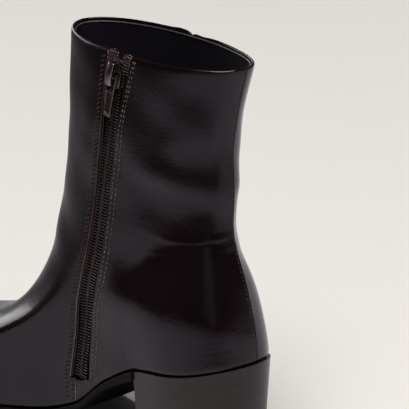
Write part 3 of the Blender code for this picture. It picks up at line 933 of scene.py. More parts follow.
def zip_fabric(name, dark, light, scale=420.0):
    """Woven tape with crossing ribs."""
    made, tree, shader = new_material(name)
    ribs = []
    for axis in ("Z", "Y"):
        settings = {"wave_type": "BANDS", "bands_direction": axis}
        place = place_nodes(tree, turn=(0.17, 0.0, 0.0))
        wave = node(tree, "TexWave", settings, Vector=place, Scale=scale, Distortion=1.2, Detail=1.0)
        ribs.append(wave.outputs["Fac"])
    weave = combined(tree, "MULTIPLY", *ribs)
    colour = ramp(tree, weave, [(0.1, dark), (0.8, light)])
    woven = bump(tree, weave, 0.15, 0.8)
    finish_shader(tree, shader, Base_Color=colour, Roughness=0.85, Normal=woven, Specular_IOR_Level=0.08)
    return made


def zip_metal():
    """Gunmetal plating with worn edges and small scratches."""
    made, tree, shader = new_material("zip_metal")
    cloud = noise(tree, 220.0, 3.0)
    colour = ramp(tree, cloud, [(0.3, (0.195, 0.152, 0.148)), (0.7, (0.330, 0.272, 0.265))])
    scratch_place = place_nodes(tree, (2500.0, 2500.0, 250.0), (0.5, 0.2, 0.0))
    scratches = noise(tree, 1.0, 3.0, 0.7, scratch_place)
    roughness = spread(tree, scratches, 0.3, 0.7, 0.15, 0.26)
    worn = bump(tree, scratches, 0.01, 0.3)
    finish_shader(tree, shader, Base_Color=colour, Roughness=roughness, Metallic=1.0, Normal=worn)
    return made


def sole_rubber():
    """Satin black sole edge with fine sanding marks."""
    made, tree, shader = new_material("sole_rubber")
    marks = noise(tree, 1.0, 3.0, 0.6, place_nodes(tree, (300.0, 300.0, 2500.0)))
    colour = ramp(tree, marks, [(0.3, (0.0036, 0.0026, 0.0024)), (0.7, (0.0080, 0.0062, 0.0057))])
    roughness = spread(tree, marks, 0.3, 0.7, 0.50, 0.65)
    finish_shader(
        tree, shader, Base_Color=colour, Roughness=roughness, Normal=bump(tree, marks, 0.03, 0.5),
        Specular_IOR_Level=0.1,
    )
    return made


def heel_stack():
    """Satin heel in dark stacked layers with small flecks."""
    made, tree, shader = new_material("heel_stack")
    layers = noise(tree, 1.0, 3.0, 0.55, place_nodes(tree, (14.0, 14.0, 620.0)))
    flecks = noise(tree, 900.0, 2.0, 0.6)
    banded = spread(tree, layers, 0.3, 0.7, 0.0, 0.75)
    speckled = combined(tree, "ADD", banded, spread(tree, flecks, 0.55, 0.75, 0.0, 0.25))
    colour = ramp(tree, speckled, [(0.0, (0.0050, 0.0034, 0.0028)), (1.0, (0.0170, 0.0116, 0.0092))])
    roughness = spread(tree, flecks, 0.3, 0.7, 0.30, 0.42)
    finish_shader(
        tree, shader, Base_Color=colour, Roughness=roughness, Normal=bump(tree, speckled, 0.03, 0.35),
        Specular_IOR_Level=0.5, Specular_Tint=(1.0, 0.94, 0.92, 1.0), Coat_Weight=0.15, Coat_Roughness=0.14,
    )
    return made


def distance_share(tree, away, stops):
    """Share of the floor's painted brightness at a distance, from a table of (metres, share)."""
    table = [(metres / FLOOR_REACH, (share, share, share)) for metres, share in stops]
    return ramp(tree, combined(tree, "DIVIDE", away, FLOOR_REACH), table)


def pale_floor():
    """Plain pale floor, evenly pale to the camera. For every other ray its colour carries painted shade: it
    falls off with distance and heading, as a lit table top does, with a painted shadow round the boot.
    """
    made, tree, shader = new_material("pale_floor")
    colour = ramp(tree, noise(tree, 3.0, 2.0), [(0.3, (0.790, 0.766, 0.722)), (0.7, (0.800, 0.776, 0.732))])
    place = node(tree, "NewGeometry").outputs["Position"]
    away = vector_math(tree, "LENGTH", place)["Value"]
    parts = node(tree, "SeparateXYZ", Vector=place).outputs
    heading = combined(tree, "ARCTAN2", parts["Y"], parts["X"])
    share = distance_share(tree, away, INNER_FLOOR)
    for side in FLOOR_SIDES:
        towards = soft_range(tree, heading, math.radians(side.start), math.radians(side.full))
        share = mixed(tree, towards, share, distance_share(tree, away, side.shares))
    # Painted shadow round the boot, added to the painted falloff above, darkens the colour that other rays
    # see
    squeezed = vector_math(tree, "MULTIPLY", place, SHADOW_SQUEEZE)["Vector"]
    near = vector_math(tree, "LENGTH", squeezed)["Value"]
    lit = spread(tree, soft_range(tree, near, *SHADOW_REACH), 0.0, 1.0, SHADOW_SHARE, 1.0)
    shaded = multiplied(tree, multiplied(tree, share, FLOOR_TINT), lit)
    seen = node(tree, "LightPath").outputs["Is Camera Ray"]
    finish_shader(
        tree, shader, Base_Color=mixed(tree, seen, shaded, colour), Roughness=0.9, Specular_IOR_Level=0.1
    )
    return made


# Leather panels
def edge_roll(distance, radius):
    """How far a rounded edge has dropped below the face at a distance from it."""
    short = np.clip(radius - distance, 0, radius)
    return radius - np.sqrt(np.maximum(radius**2 - short**2, 0))


def travel(points, axis):
    """Length covered along rows or columns of a grid from its first point."""
    steps = np.linalg.norm(np.diff(points, axis=axis), axis=-1)
    start = np.zeros_like(np.take(steps, [0], axis=axis))
    return np.cumsum(np.concatenate([start, steps], axis=axis), axis=axis)


def level_speed(level):
    """Millimetres to a level on the inner side."""
    step = 1e-3
    level = min(max(level, step), 1 - step)
    ends = last_point(math.pi / 2, np.array([level - step, level + step]))
    return float(np.linalg.norm(ends[1] - ends[0]) / (2 * step))


def below_collar(length):
    """Level at a length in millimetres below the collar."""
    return 1 - length / level_speed(1.0)


def panel_levels():
    """Rows of the panels, closer together at the sole, at the zip's foot and at the collar."""
    steps = np.array(EDGE_STEPS)
    bottom = steps / level_speed(0.0)
    foot = FOOT_ROW - steps / level_speed(FOOT_ROW)
    top = below_collar(steps)
    middle = np.linspace(0, 1, LEVEL_ROWS) ** 1.12
    clear = (middle > bottom[-1]) & (middle < top[-1])
    clear &= (middle < foot[-1] - 1e-3) | (middle > FOOT_ROW + 1e-3)
    levels = np.concatenate([bottom, foot[foot > bottom[-1]], [FOOT_ROW + FOOT_STEP], middle[clear], top])
    return np.unique(np.round(levels, 7))


def moved_rows(rows, foot_level):
    """Levels of the rows when the row at the zip's foot is moved to a given level."""
    below = rows * foot_level / FOOT_ROW
    above = foot_level + (rows - FOOT_ROW) * (1 - foot_level) / (1 - FOOT_ROW)
    return np.where(rows <= FOOT_ROW, below, above)


def angle_columns(levels, first, second, count):
    """Angles of a panel's columns at each level, closer together at its two edges."""
    steps = np.array(EDGE_STEPS)
    probe = 1e-3

    def speed(angle):
        ends = last_point(angle + probe, levels) - last_point(angle - probe, levels)
        return np.linalg.norm(ends, axis=-1) / (2 * probe)

    start = first[:, None] + steps[None] / speed(first)[:, None]
    end = second[:, None] - steps[None, ::-1] / speed(second)[:, None]
    shares = np.linspace(0, 1, count + 2)[1:-1]
    middle = start[:, -1:] + (end[:, :1] - start[:, -1:]) * shares[None]
    return np.concatenate([start, middle, end], axis=1)


def seam_notch(to_seam, below_top, bulge):
    """Change of height where the collar dips at the side seam, and swells just before it."""

    def hill(aside, size):
        return np.exp(-((aside / size[0]) ** 2)) * np.exp(-((below_top / size[1]) ** 2))

    return bulge * hill(to_seam - SEAM_BULGE_AWAY, SEAM_BULGE_SIZE) - SEAM_DIP * hill(to_seam, SEAM_DIP_SIZE)


def panel_sheet(levels, angles, tongue=None, sink=0.0, seam=None, bulge=0.0):
    """Closed leather sheet over grids of levels and angles, all its edges rounded.

    tongue names the columns that only exist below the zip's foot, and the row of their upper edge.
    """
    face, normal = leather_point(angles, levels)
    radius = LEATHER_THICKNESS / 2
    across = travel(face, 1)
    upwards = travel(face, 0)
    if seam is not None:
        to_seam = across if seam == 0 else across[:, -1:] - across
        face[..., 2] += seam_notch(to_seam, upwards[-1:] - upwards, bulge)
    to_edges = (across, across[:, -1:] - across, upwards, upwards[-1:] - upwards)
    drop = np.max([edge_roll(distance, radius) for distance in to_edges], axis=0)
    if tongue is not None:
        columns, foot = tongue
        below = upwards[foot, columns] - upwards[:foot + 1, columns]
        drop[:foot + 1, columns] = np.maximum(drop[:foot + 1, columns], edge_roll(below, radius))
    outer = face - (drop + sink)[..., None] * normal
    inner = face - (LEATHER_THICKNESS - drop + sink)[..., None] * normal
    return sheet_solid(outer, inner)


def front_panel(rows, finish):
    """Vamp and front of the shaft from the zip to the side seam, with the lap below the zip."""
    below = rows <= FOOT_ROW
    levels = moved_rows(rows, FOOT_FRONT_LEVEL)
    edge = zip_angle(levels, 1.0)
    free_edge = np.where(below, zip_angle(levels, 1.0, -LAP_WIDTH), edge)
    shares = np.array(EDGE_STEPS[:-1] + (LAP_LAST_STEP,)) / LAP_WIDTH
    lap = free_edge[:, None] + (edge - free_edge)[:, None] * shares[None]
    main = angle_columns(levels, edge, np.full(len(rows), SIDE_SEAM_ANGLE), FRONT_COLUMNS)
    tongue = (slice(0, len(shares)), below.sum() - 1)
    angles = np.concatenate([lap, main], axis=1)
    shape = panel_sheet(levels[:, None], angles, tongue, seam=1, bulge=SEAM_BULGE)
    return add_piece("front_panel", shape, finish, ("upper",))


def inner_quarter(rows, finish):
    """Inner rear panel from the back seam to the zip, running on under the front panel below the zip."""
    below = rows <= FOOT_ROW
    levels = moved_rows(rows, FOOT_REAR_LEVEL)
    edge = zip_angle(levels, -1.0)
    main = angle_columns(levels, seam_angle(last_point(0.0, levels)[:, 2]), edge, INNER_COLUMNS)
    last_shares = 1 - np.array(EDGE_STEPS[:6])[::-1] / UNDERLAY_LENGTH
    shares = np.concatenate([np.linspace(0, 1, UNDERLAY_COLUMNS)[1:-1], last_shares])
    front_levels = moved_rows(rows, FOOT_FRONT_LEVEL)
    hidden_edge = zip_angle(front_levels, 1.0, LAP_UNDERLAY - LAP_WIDTH)
    under = edge[:, None] + np.where(below, hidden_edge - edge, 0.0)[:, None] * shares[None]
    rise = np.where(below, front_levels - levels, 0.0)[:, None] * shares[None]
    angles = np.concatenate([main, under], axis=1)
    grid_levels = levels[:, None] + np.concatenate([np.zeros(main.shape), rise], axis=1)
    across = travel(last_point(angles, grid_levels), 1)
    to_lap = across[:, -1:] - across - LAP_UNDERLAY
    sink = np.where(below[:, None], UNDERLAY_SINK * smoothstep(1.0, -0.3, to_lap), 0.0)
    tongue = (slice(main.shape[1], angles.shape[1]), below.sum() - 1)
    shape = panel_sheet(grid_levels, angles, tongue, sink)
    return add_piece("inner_quarter", shape, finish)


def outer_quarter(rows, finish):
    """Outer rear panel from the side seam to the back seam."""
    first = np.full(len(rows), SIDE_SEAM_ANGLE)
    second = 2 * math.pi + seam_angle(last_point(0.0, rows)[:, 2])
    angles = angle_columns(rows, first, second, OUTER_COLUMNS)
    shape = panel_sheet(rows[:, None], angles, seam=0, bulge=-SEAM_BULGE)
    return add_piece("outer_quarter", shape, finish)


def lining(finish):
    """Lining inside the leather, its top edge a little below the collar."""
    steps = np.array(EDGE_STEPS[:8])[::-1]
    wall = np.linspace(LINING_FOOT, below_collar(LINING_TOP_DROP + LINING_EDGE), LINING_ROWS)
    levels = np.concatenate([wall, below_collar(LINING_TOP_DROP + steps)])
    first = zip_angle(levels, 1.0, 0.6)
    second = zip_angle(levels, -1.0, -0.6) + 2 * math.pi
    angles = angle_columns(levels, first, second, FRONT_COLUMNS)
    face, normal = leather_point(angles, levels[:, None])
    upwards = travel(face, 0)
    drop = edge_roll(upwards[-1:] - upwards, LINING_THICKNESS / 2)
    outer = face - (LINING_FACE + drop)[..., None] * normal
    inner = face - (LINING_FACE + LINING_THICKNESS - drop)[..., None] * normal
    return add_piece("lining", sheet_solid(outer, inner), finish)


def collar_edge(finish):
    """Turned edge of the lining where it meets the leather inside the collar."""
    level = below_collar(LINING_TOP_DROP)
    ends = zip_angle(np.array([level, level]), np.array([1.0, -1.0])) + np.array([0.0, 2 * math.pi])
    angles = np.linspace(ends[0] + 0.03, ends[1] - 0.03, 420)
    path, _ = leather_point(angles, np.full(len(angles), level), -LINING_FACE - LINING_THICKNESS + 0.2)
    upright = np.repeat(np.array([[0.0, 0.0, 1.0]]), len(path), axis=0)
    return add_piece("collar_edge", tube(path, upright, EDGE_RADIUS, 10), finish)


# Stitches
def stitch_shape(length, radius, lift):
    """One stitch along the first axis: points and faces of a small bowed bead of thread."""
    places = np.array([-1.0, -0.8, -0.35, 0.35, 0.8, 1.0])
    girth = radius * np.array([0.35, 0.8, 1.0, 1.0, 0.8, 0.35])
    turn = np.linspace(0, 2 * math.pi, 6, endpoint=False)
    rings = []
    for place, size in zip(places, girth):
        height = lift * (1 - place**2) - radius * place**4
        ring = [(place * length / 2, size * math.cos(t), height + size * math.sin(t)) for t in turn]
        rings.append(ring)
    return lofted_block(rings)


def stitch_row(path, normals, pitch, length, radius=0.32, lift=0.26):
    """Stitches along a path on the leather, each a little out of place and of its own size."""
    distance = travel(path[:, None], 0)[:, 0]
    count = int(distance[-1] / pitch)
    centres = (np.arange(count) + 0.5) * pitch

    def at(rows, shift):
        return np.stack([np.interp(centres + shift, distance, rows[:, k]) for k in range(3)], -1)

    out = unit(at(normals, 0.0))
    along = unit(at(path, length / 2) - at(path, -length / 2))
    side = np.cross(out, along)
    draw = np.random.default_rng(count)
    centre = at(path, 0.0) + draw.normal(0.0, STITCH_SLIP, (count, 1)) * along
    centre = centre + draw.normal(0.0, STITCH_STRAY, (count, 1)) * side
    shape, faces = stitch_shape(length, radius, lift)
    turned = sum(shape[None, :, k:k + 1] * way[:, None] for k, way in enumerate((along, side, out)))
    points = centre[:, None] + turned * draw.uniform(*STITCH_SCALES, (count, 1, 1))
    return joined([(row, faces) for row in points])


def level_path(angle_of_level, low, high, proud=0.0):
    """Path on the leather from one level to another, with its normals."""
    levels = np.linspace(low, high, 400)
    return leather_point(angle_of_level(levels), levels, proud)


def rear_inset(level, row):
    """How far behind the zip's rear edge a row of stitches runs: the two draw together upwards."""
    height = last_point(zip_angle(level, -1.0), level)[..., 2]
    return REAR_ROW_INSET + row * (REAR_ROW_GAP - REAR_ROW_LOSS * smoothstep(*REAR_ROW_HEIGHTS, height))


def side_stitches(tan, dark):
    """Rows of stitches along the zip, the lap, the back seam and the zip's foot."""
    top = below_collar(STITCH_TOP_DROP)
    rows = []
    for row in (0, 1):
        path = level_path(
            lambda level: zip_angle(level, -1.0, -rear_inset(level, row)), FOOT_REAR_LEVEL, top
        )
        rows.append(stitch_row(*path, pitch=2.55, length=STITCH_LENGTH, radius=0.29 - 0.03 * row, lift=0.24))
    add_piece("zip_rear_stitches", joined(rows), tan)
    rows = []
    for inset in FRONT_ROW_INSETS:
        path = level_path(lambda level: zip_angle(level, 1.0, inset), STITCH_FOOT, top)
        rows.append(stitch_row(*path, pitch=2.3, length=STITCH_LENGTH))
    lap_inset = FRONT_ROW_INSETS[0] - LAP_WIDTH
    lap = level_path(lambda level: zip_angle(level, 1.0, lap_inset), LAP_STITCH_FOOT, FOOT_FRONT_LEVEL)
    rows.append(stitch_row(*lap, pitch=2.2, length=STITCH_LENGTH))
    add_piece("zip_front_stitches", joined(rows), dark)
    back = level_path(
        lambda level: seam_angle(last_point(0.0, level)[..., 2]) + SEAM_ROW_TURN, STITCH_FOOT, top, -0.05
    )
    seam = stitch_row(*back, pitch=2.2, length=1.4, radius=0.26, lift=0.14)
    add_piece("back_seam_stitches", seam, dark)
    shares = np.linspace(0.0, 1.0, 80)
    levels = FOOT_FRONT_LEVEL + (FOOT_REAR_LEVEL - FOOT_FRONT_LEVEL) * smoothstep(0.2, 0.8, shares)
    levels -= 0.9 / level_speed(FOOT_ROW)
    angles = zip_angle(levels, 1.0 - 2.0 * shares, 4.5 - 11.0 * shares)
    foot = stitch_row(*leather_point(angles, levels), pitch=1.9, length=STITCH_LENGTH, radius=0.3, lift=0.2)
    add_piece("zip_foot_stitches", foot, dark)


# Zip
def split(height):
    """How far each half of the open zip has moved from the middle."""
    return COIL_SPLIT * smoothstep(SLIDER_HEIGHT - 4.0, COLLAR_HEIGHT, height)


def zip_path(low, high, count):
    """Places and directions along the zip between two heights, with the length covered."""
    heights = np.linspace(low, high, count)
    origin, rear, up, out = zip_frames(heights)
    return heights, origin, rear, up, out, travel(origin[:, None], 0)[:, 0]


def coil_half(side, low, high):
    """Flattened spiral of one half of the zip; side is 1 at the rear and -1 at the front."""
    heights, origin, rear, up, out, length = zip_path(low, high, 400)
    turns = int(length[-1] / COIL_PITCH - 0.6)
    turn = np.linspace(0, 2 * math.pi * turns, turns * COIL_STEPS + 1)
    along = COIL_PITCH * turn / (2 * math.pi) + (COIL_PITCH / 2 if side < 0 else 0.0)

    def at(rows):
        return np.stack([np.interp(along, length, rows[:, k]) for k in range(3)], -1)

    centre = side * (COIL_CENTRE + split(np.interp(along, length, heights)))
    aside = centre + side * COIL_HALF_WIDTH * np.cos(turn)
    depth = COIL_DEPTH - COIL_HALF_DEPTH * np.sin(turn) + COIL_DIP * np.sin(turn) ** 2
    path = at(origin) + aside[:, None] * at(rear) - depth[:, None] * at(out)
    return tube(path, at(up), FILAMENT_RADIUS, 6)


def zip_coil(finish):
    """Both halves of the coil, interlocked below the slider and parted above it."""
    low = float(last_point(zip_angle(FOOT_ROW, 0.0), FOOT_ROW)[2]) + 0.6
    halves = [coil_half(side, low, COLLAR_HEIGHT - 1.0) for side in (1, -1)]
    return add_piece("zip_coil", joined(halves), finish, ("zip_chain",))


def tape_half(side):
    """Woven strip of one half of the zip, from under the leather to the coil."""
    low = float(last_point(zip_angle(FOOT_REAR_LEVEL, 0.0), FOOT_REAR_LEVEL)[2])
    heights, origin, rear, _, out, _ = zip_path(low, COLLAR_HEIGHT - 2.5, 120)
    opening = table_value(ZIP_LINE, "half_opening", heights)
    inner_edge = COIL_CENTRE + split(heights) - 1.2
    outer_edge = opening + TAPE_OVERLAP
    shares = np.linspace(0, 1, 12)
    aside = side * (inner_edge[:, None] + (outer_edge - inner_edge)[:, None] * shares[None])
    grid = origin[:, None] + aside[..., None] * rear[:, None]
    front = grid - TAPE_DEPTH * out[:, None]
    back = grid - (TAPE_DEPTH + TAPE_THICKNESS) * out[:, None]
    return sheet_solid(front, back)


def zip_tape(finish):
    """Both halves of the tape."""
    halves = [tape_half(side) for side in (1, -1)]
    return add_piece("zip_tape_halves", joined(halves), finish, ("zip_tape",))


def front_edge(bead_with_painted_reflection, inside):
    """Folded front edge of the zip's opening and of the lap below it, and its red-brown inside."""
    levels = np.linspace(FOOT_FRONT_LEVEL + 0.004, below_collar(0.8), 260)
    lap_levels = np.linspace(0.003, FOOT_FRONT_LEVEL - 0.006, 40)
    edge = leather_point(zip_angle(levels, 1.0, 0.1), levels, -BEAD_SINK)
    lap = leather_point(zip_angle(lap_levels, 1.0, 0.1 - LAP_WIDTH), lap_levels, -BEAD_SINK)
    shape = joined([tube(*edge, BEAD_RADIUS, 12), tube(*lap, EDGE_RADIUS, 12)])
    # The bead's finish has a painted reflection mixed into its colour lower down
    add_piece("zip_front_bead", shape, bead_with_painted_reflection)
    fold = leather_point(zip_angle(levels, 1.0, -0.6), levels, -FOLDED_SINK)
    add_piece("zip_front_fold", tube(*fold, FOLDED_RADIUS, 12), inside)


def slab(outline, low, high):
    """Points and faces of a plate with a flat outline, between two heights."""
    return lofted_block([[(x, y, out) for x, y in outline] for out in (low, high)])


def slider_body(finish):
    """Slider: two shield plates, flanges and the divider between the zip's halves."""
    width = SLIDER_HALF_WIDTH
    length = SLIDER_HALF_LENGTH
    half = [(0.9, length), (2.5, 4.2), (width, 0.9), (width, -length + 0.7), (width - 0.6, -length)]
    outline = half + [(-x, y) for x, y in reversed(half)]
    parts = [slab(outline, SLIDER_PROUD - 0.75, SLIDER_PROUD), slab(outline, -2.0, -1.4)]
    flange = ((width - 0.55, 0.4), (width, 0.4), (width, 0.7 - length), (width - 0.55, 0.7 - length))
    for side in (1, -1):
        parts.append(slab([(side * x, y) for x, y in flange], -0.25, SLIDER_PROUD - 0.4))
    divider = ((-0.7, 2.4), (0.0, 1.2), (0.7, 2.4), (0.9, 6.0), (-0.9, 6.0))
    parts.append(slab(divider, -1.6, SLIDER_PROUD - 0.5))
    points, faces = joined(parts)
    shape = (slider_place(*points.T), faces)
    piece = add_piece("zip_slider_body", shape, finish, ("zip_slider",))
    return rounded(piece, 0.22)


def slider_bridge(finish):
    """Arched bridge over the pull's crossbar, bowed outwards."""
    across = np.linspace(-BRIDGE_HALF_WIDTH, BRIDGE_HALF_WIDTH, 5)
    lower = BRIDGE_LOWER_POST - BRIDGE_HALF_LENGTH
    upper = BRIDGE_HALF_LENGTH - BRIDGE_UPPER_POST
    post = np.linspace(upper, BRIDGE_HALF_LENGTH, 6)[1:]
    along = np.concatenate([[-BRIDGE_HALF_LENGTH], np.linspace(lower, upper, 7), post])
    out = (SLIDER_PROUD - 0.2, BRIDGE_UNDERSIDE, BRIDGE_TOP)
    points, faces = cell_block((across, along, out), lambda i, j, k: k == 1 or j == 0 or j > 6)
    top = points[:, 2] > SLIDER_PROUD
    bow = 0.75 * (points[:, 1] / BRIDGE_HALF_LENGTH) ** 2 + 0.25 * (points[:, 0] / BRIDGE_HALF_WIDTH) ** 2
    points[:, 2] -= np.where(top, bow, 0.0)
    piece = add_piece("zip_slider_bridge", (slider_place(*points.T), faces), finish)
    return rounded(piece, 0.5, 4)


def zip_pull(finish, field):
    """Pull tab: crossbar, legs and a tapered plate with a raised frame round a bare recess."""
    across = (-PULL_HALF_WIDTH, -PULL_LEG_INNER, PULL_LEG_INNER, PULL_HALF_WIDTH)
    along = (
        -PULL_LENGTH, -PULL_LENGTH + 1.3, -PULL_LEG_LENGTH - 1.2, -PULL_LEG_LENGTH,
        -PULL_BAR_HALF, PULL_BAR_HALF,
    )
    out = (-PULL_HALF_THICKNESS, PULL_HALF_THICKNESS - 0.4, PULL_HALF_THICKNESS)

    def filled(i, j, k):
        in_window = i == 1 and j == 3
        in_recess = i == 1 and j == 1 and k == 1
        return not in_window and not in_recess

    points, faces = cell_block((across, along, out), filled)
    share = np.maximum(0.0, (-points[:, 1] - PULL_LEG_LENGTH) / (PULL_LENGTH - PULL_LEG_LENGTH))
    points[:, 0] *= 1 - share * (1 - PULL_FOOT_HALF_WIDTH / PULL_HALF_WIDTH)
    points[:, 0] += share * PULL_FOOT_SHIFT
    placed = slider_place(points[:, 0], points[:, 1] - PULL_AXIS_DROP, points[:, 2] + PULL_AXIS_PROUD)
    piece = add_piece("zip_pull_tab", (placed, faces), finish, ("zip_pull",), "pull_tab")
    rounded(piece, 0.2)
    piece.data.materials.append(field)
    _, _, along, outwards = SLIDER_FRAME
    for face in piece.data.polygons:
        away = np.array(face.center) / MM - BOOT_SHIFT - HINGE
        on_plate = -PULL_LENGTH + 1.0 < away @ along < -PULL_LEG_LENGTH - 0.9
        sunk = 0.0 < away @ outwards < PULL_HALF_THICKNESS - 0.15
        if on_plate and sunk and np.array(face.normal) @ outwards > 0.9:
            face.material_index = 1
    return piece


def tape_end(side, inner, sunk, seed):
    """Folded, frayed end of one tape half at the collar: a lumpy woven pillow with a rounded top."""
    draw = np.random.default_rng(seed)
    low = COLLAR_HEIGHT - TAPE_END_LENGTH
    heights, origin, rear, _, out, _ = zip_path(low, COLLAR_HEIGHT - 0.4, TAPE_END_ROWS)
    opening = table_value(ZIP_LINE, "half_opening", heights)
    shares = np.linspace(0, 1, TAPE_END_COLUMNS)
    aside = inner + (opening[:, None] + 0.1 - inner) * shares[None]
    weave = np.sin(heights * WEAVE_RATE)[:, None] * np.sin(aside * WEAVE_RATE)
    lumps = WEAVE_DEPTH * weave + draw.normal(0.0, WEAVE_SCATTER, aside.shape)
    upright = np.linspace(0, 1, TAPE_END_ROWS)
    swell_up = np.sin(math.pi * (0.25 + 0.75 * upright)) ** 0.5
    swell_across = np.sin(math.pi * (0.1 + 0.8 * shares)) ** 0.5
    swell = swell_up[:, None] * swell_across[None]
    top = 1.2 * (smoothstep(0.5, 1.0, upright)[:, None] * np.sin(math.pi * shares)[None] - 0.3)
    grid = origin[:, None] + side * aside[..., None] * rear[:, None]
    grid[..., 2] += top
    front = grid + (1.3 * swell + lumps - 1.3 - sunk)[..., None] * out[:, None]
    back = grid - (1.4 + sunk + 0.5 * swell)[..., None] * out[:, None]
    return sheet_solid(front, back)


def loose_fibres(side, inner, seed):
    """Short frayed fibres standing out of a tape end."""
    draw = np.random.default_rng(seed)
    parts = []
    heights = COLLAR_HEIGHT - draw.uniform(0.0, FIBRE_ZONE, FIBRES)
    for origin, rear, up, out in zip(*zip_frames(heights)):
        aside = side * draw.uniform(inner + 0.3, 8.0)
        start = origin + aside * rear - draw.uniform(0.3, 1.2) * out
        way = unit(draw.normal(0, 0.6, 3) + 0.5 * up + 0.5 * out)
        bend = draw.normal(0, 0.5, 3)
        steps = np.linspace(0, draw.uniform(*FIBRE_LENGTHS), 6)
        path = start + steps[:, None] * way + (steps**2)[:, None] * 0.3 * bend
        across = unit(np.cross(way, up + 0.3 * out))
        parts.append(tube(path, np.repeat(across[None], 6, axis=0), FIBRE_RADIUS, 5))
    return joined(parts)


def tape_ends(finish):
    """Both folded tape ends with their loose fibres."""
    ends = [tape_end(-1, 1.5, 0.2, 5), tape_end(1, 1.0, 1.5, 3)]
    ends += [loose_fibres(-1, 1.5, 11), loose_fibres(1, 1.0, 12)]
    return add_piece("zip_tape_ends", joined(ends), finish)


# Sole, heel and insole
def swing(share):
    """Sideways shift of the sole's centre line towards the inner side at the toe."""
    return LAST_SECTIONS[0].toe_swing * share**2


def outsole(finish):
    """Outsole from the heel's breast to the toe, with rounded edges."""
    rear_angle = math.acos(1 - 2 * SOLE_REAR_DISTANCE / FOOT_LENGTH)
    rings = []
    for angle in np.linspace(rear_angle, math.pi - TIP_ANGLE, 110):
        share = length_share(angle)
        distance = share * FOOT_LENGTH
        reach = SOLE_EDGE * share**6
        top = float(feather_height(distance)) - SEAT_GAP
        bottom = float(table_value(SOLE_UNDERSIDE, "height", distance))
        levels = ((bottom, 1.6), (bottom + 0.25, 0.75), (bottom + 0.8, 0.2), (bottom + 1.6, 0.0),
                  (top - 0.9, 0.0), (top - 0.3, 0.15), (top, 0.6))
        half = {side: float(sole_half_width(share, side)) + SOLE_EDGE for side in ("medial", "lateral")}
        inner = [(swing(share) + half["medial"] - cut, -distance - reach, z) for z, cut in levels]
        outer = [(swing(share) - half["lateral"] + cut, -distance - reach, z) for z, cut in levels]
        rings.append(inner + outer[::-1])
    shape = lofted_block(rings)
    return add_piece("outsole_shaped", shape, finish, ("outsole",), sharp=SHARP_ANGLE)


def heel(finish):
    """Block heel with a dished top under the heel seat, tapering to the floor, its edges rounded."""
    breast_angle = math.acos(1 - 2 * HEEL_LENGTH / FOOT_LENGTH)
    shares = np.concatenate([[0.0], np.linspace(0.01, 0.99, 18), [1.0]])
    rings = []
    for angle in np.linspace(breast_angle, TIP_ANGLE / 4, 60):
        share = length_share(angle)
        from_centre = share * FOOT_LENGTH - HEEL_CENTRE_DISTANCE
        top = float(feather_height(HEEL_CENTRE_DISTANCE + HEEL_TOP_SCALE * from_centre)) - SEAT_GAP
        scale = HEEL_FLOOR_SCALE + (HEEL_TOP_SCALE - HEEL_FLOOR_SCALE) * shares
        distance = HEEL_CENTRE_DISTANCE + scale * from_centre
        sides = []
        for side, sign in (("medial", 1), ("lateral", -1)):
            half = float(sole_half_width(share, side))
            sides.append(np.stack([sign * scale * half, -distance, shares * top], -1))
        rings.append(np.concatenate([sides[0], sides[1][::-1]]))
    piece = add_piece("heel_block_shaped", lofted_block(rings), finish, ("heel",))
    return rounded(piece, 0.7, angle=SHARP_ANGLE)


def insole(finish):
    """Lined sock on the insole board, slightly dished."""
    rings = []
    for angle in np.linspace(TIP_ANGLE, math.pi - TIP_ANGLE, 70):
        share = length_share(angle)
        distance = SOCK_INSET + share * (FOOT_LENGTH - 2 * SOCK_INSET)
        narrow = SOCK_INSET * min(1.0, math.sin(angle) * 1.6)
        medial = swing(share) + float(sole_half_width(share, "medial")) - narrow
        lateral = swing(share) - float(sole_half_width(share, "lateral")) + narrow
        bottom = float(feather_height(distance))
        across = np.linspace(0, 1, 9)
        dish = SOCK_THICKNESS - SOCK_DISH * np.sin(math.pi * across)
        top = [(medial + (lateral - medial) * a, -distance, bottom + rise) for a, rise in zip(across, dish)]
        rings.append([(medial, -distance, bottom)] + top + [(lateral, -distance, bottom)])
    return add_piece("insole_sock", lofted_block(rings), finish, ("insole",))


# Stage
def aim_at(made, place, aim):
    """Put a camera or light at a place and point it at another."""
    made.location = place
    made.rotation_euler = (Vector(aim) - Vector(place)).to_track_quat("-Z", "Y").to_euler()


def camera():
    """Camera at the photograph's angle to the boot."""
    towards = np.array([
        math.cos(CAMERA_TURN) * math.cos(CAMERA_RISE),
        math.sin(CAMERA_TURN) * math.cos(CAMERA_RISE),
        math.sin(CAMERA_RISE),
    ])
    right = np.array([-math.sin(CAMERA_TURN), math.cos(CAMERA_TURN), 0.0])
    upwards = np.cross(towards, right)
    target = np.array(CAMERA_TARGET)
    data = bpy.data.cameras.new("camera")
    data.sensor_width = SENSOR
    data.lens = SENSOR * CAMERA_DISTANCE * PIXELS_PER_MM / PICTURE_PIXELS
    data.clip_end = CAMERA_REACH
    made = linked("camera", data)
    place = to_frame(target + CAMERA_DISTANCE * towards)
    aim_at(made, place, to_frame(target + AIM_RIGHT * right - AIM_DOWN * upwards))
    bpy.context.scene.camera = made


def area_light(name, place, size, power):
    """Soft rectangular light aimed at the boot; place and size are metres."""
    data = bpy.data.lights.new(name, "AREA")
    data.shape = "RECTANGLE"
    data.size, data.size_y = size
    data.energy = power
    made = linked(name, data)
    aim_at(made, place, LIGHT_AIM)
    return made


def level_direction(degrees):
    """Level unit vector at a turn from the inner side towards the back."""
    turn = math.radians(degrees)
    return (math.cos(turn), math.sin(turn), 0.0)


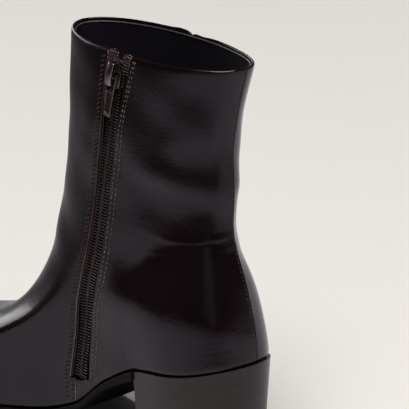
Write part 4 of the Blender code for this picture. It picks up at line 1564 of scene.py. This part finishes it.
def surroundings(tree):
    """Colour of the room: a glow low down, one dark side with a soft pane of light, plain for the camera."""
    direction = node(tree, "TexCoord").outputs["Generated"]
    rise = node(tree, "SeparateXYZ", Vector=direction).outputs["Z"]
    facing = vector_math(tree, "DOT_PRODUCT", direction, level_direction(DARK_TURN))["Value"]
    room = mixed(tree, soft_range(tree, facing, *DARK_EDGE), DUSK, ramp(tree, rise, GLOW))
    flat = vector_math(tree, "MULTIPLY", direction, (1.0, 1.0, 0.0))["Vector"]
    flat = vector_math(tree, "NORMALIZE", flat)["Vector"]
    aside = vector_math(tree, "DOT_PRODUCT", flat, level_direction(PANE_TURN))["Value"]
    above_foot = soft_range(tree, rise, *PANE_FOOT)
    inside = combined(tree, "MULTIPLY", soft_range(tree, aside, *PANE_SIDES), above_foot)
    seen = node(tree, "LightPath").outputs["Is Camera Ray"]
    return mixed(tree, seen, mixed(tree, inside, room, PANE), BACKDROP)


def studio():
    """Pale floor, surroundings and soft lights."""
    world = bpy.data.worlds.new("studio")
    world.use_nodes = True
    tree = world.node_tree
    tree.links.new(surroundings(tree), tree.nodes["Background"].inputs["Color"])
    bpy.context.scene.world = world
    area_light("key", (1.25, 1.5, 4.3), (3.4, 3.4), 292.0)
    toe_side = area_light("toe side", (-0.05, -2.0, 0.78), (2.2, 0.95), 20.0)
    toe_side.visible_diffuse = False
    bpy.ops.mesh.primitive_plane_add(size=FLOOR_SIZE, location=(0.0, 0.0, FLOOR_DROP))
    floor = bpy.context.object
    floor.name = "floor"
    floor.data.materials.append(pale_floor())
    bpy.context.scene.view_settings.view_transform = "Standard"


def boot():
    """Every piece of the boot."""
    leather = upper_leather()
    nap = plain_finish("woven_lining")
    metal = zip_metal()
    levels = panel_levels()
    front_panel(levels, leather)
    inner_quarter(levels, leather)
    outer_quarter(levels, leather)
    lining(nap)
    collar_edge(plain_finish("edge_lining"))
    insole(nap)
    outsole(sole_rubber())
    heel(heel_stack())
    zip_tape(zip_fabric("zip_fabric", (0.0030, 0.0022, 0.0020), (0.0100, 0.0072, 0.0065)))
    zip_coil(plain_finish("zip_nylon"))
    front_edge(edge_with_painted_reflection(), plain_finish("edge_leather"))
    tan = thread("tan_thread", (0.030, 0.018, 0.012), (0.210, 0.145, 0.095))
    dark = thread("brown_thread", (0.012, 0.007, 0.006), (0.045, 0.029, 0.023))
    side_stitches(tan, dark)
    tape_ends(zip_fabric("frayed_tape", (0.008, 0.005, 0.005), (0.240, 0.165, 0.152), 230.0))
    slider_body(metal)
    slider_bridge(metal)
    zip_pull(metal, plain_finish("dark_metal"))


camera()
studio()
boot()
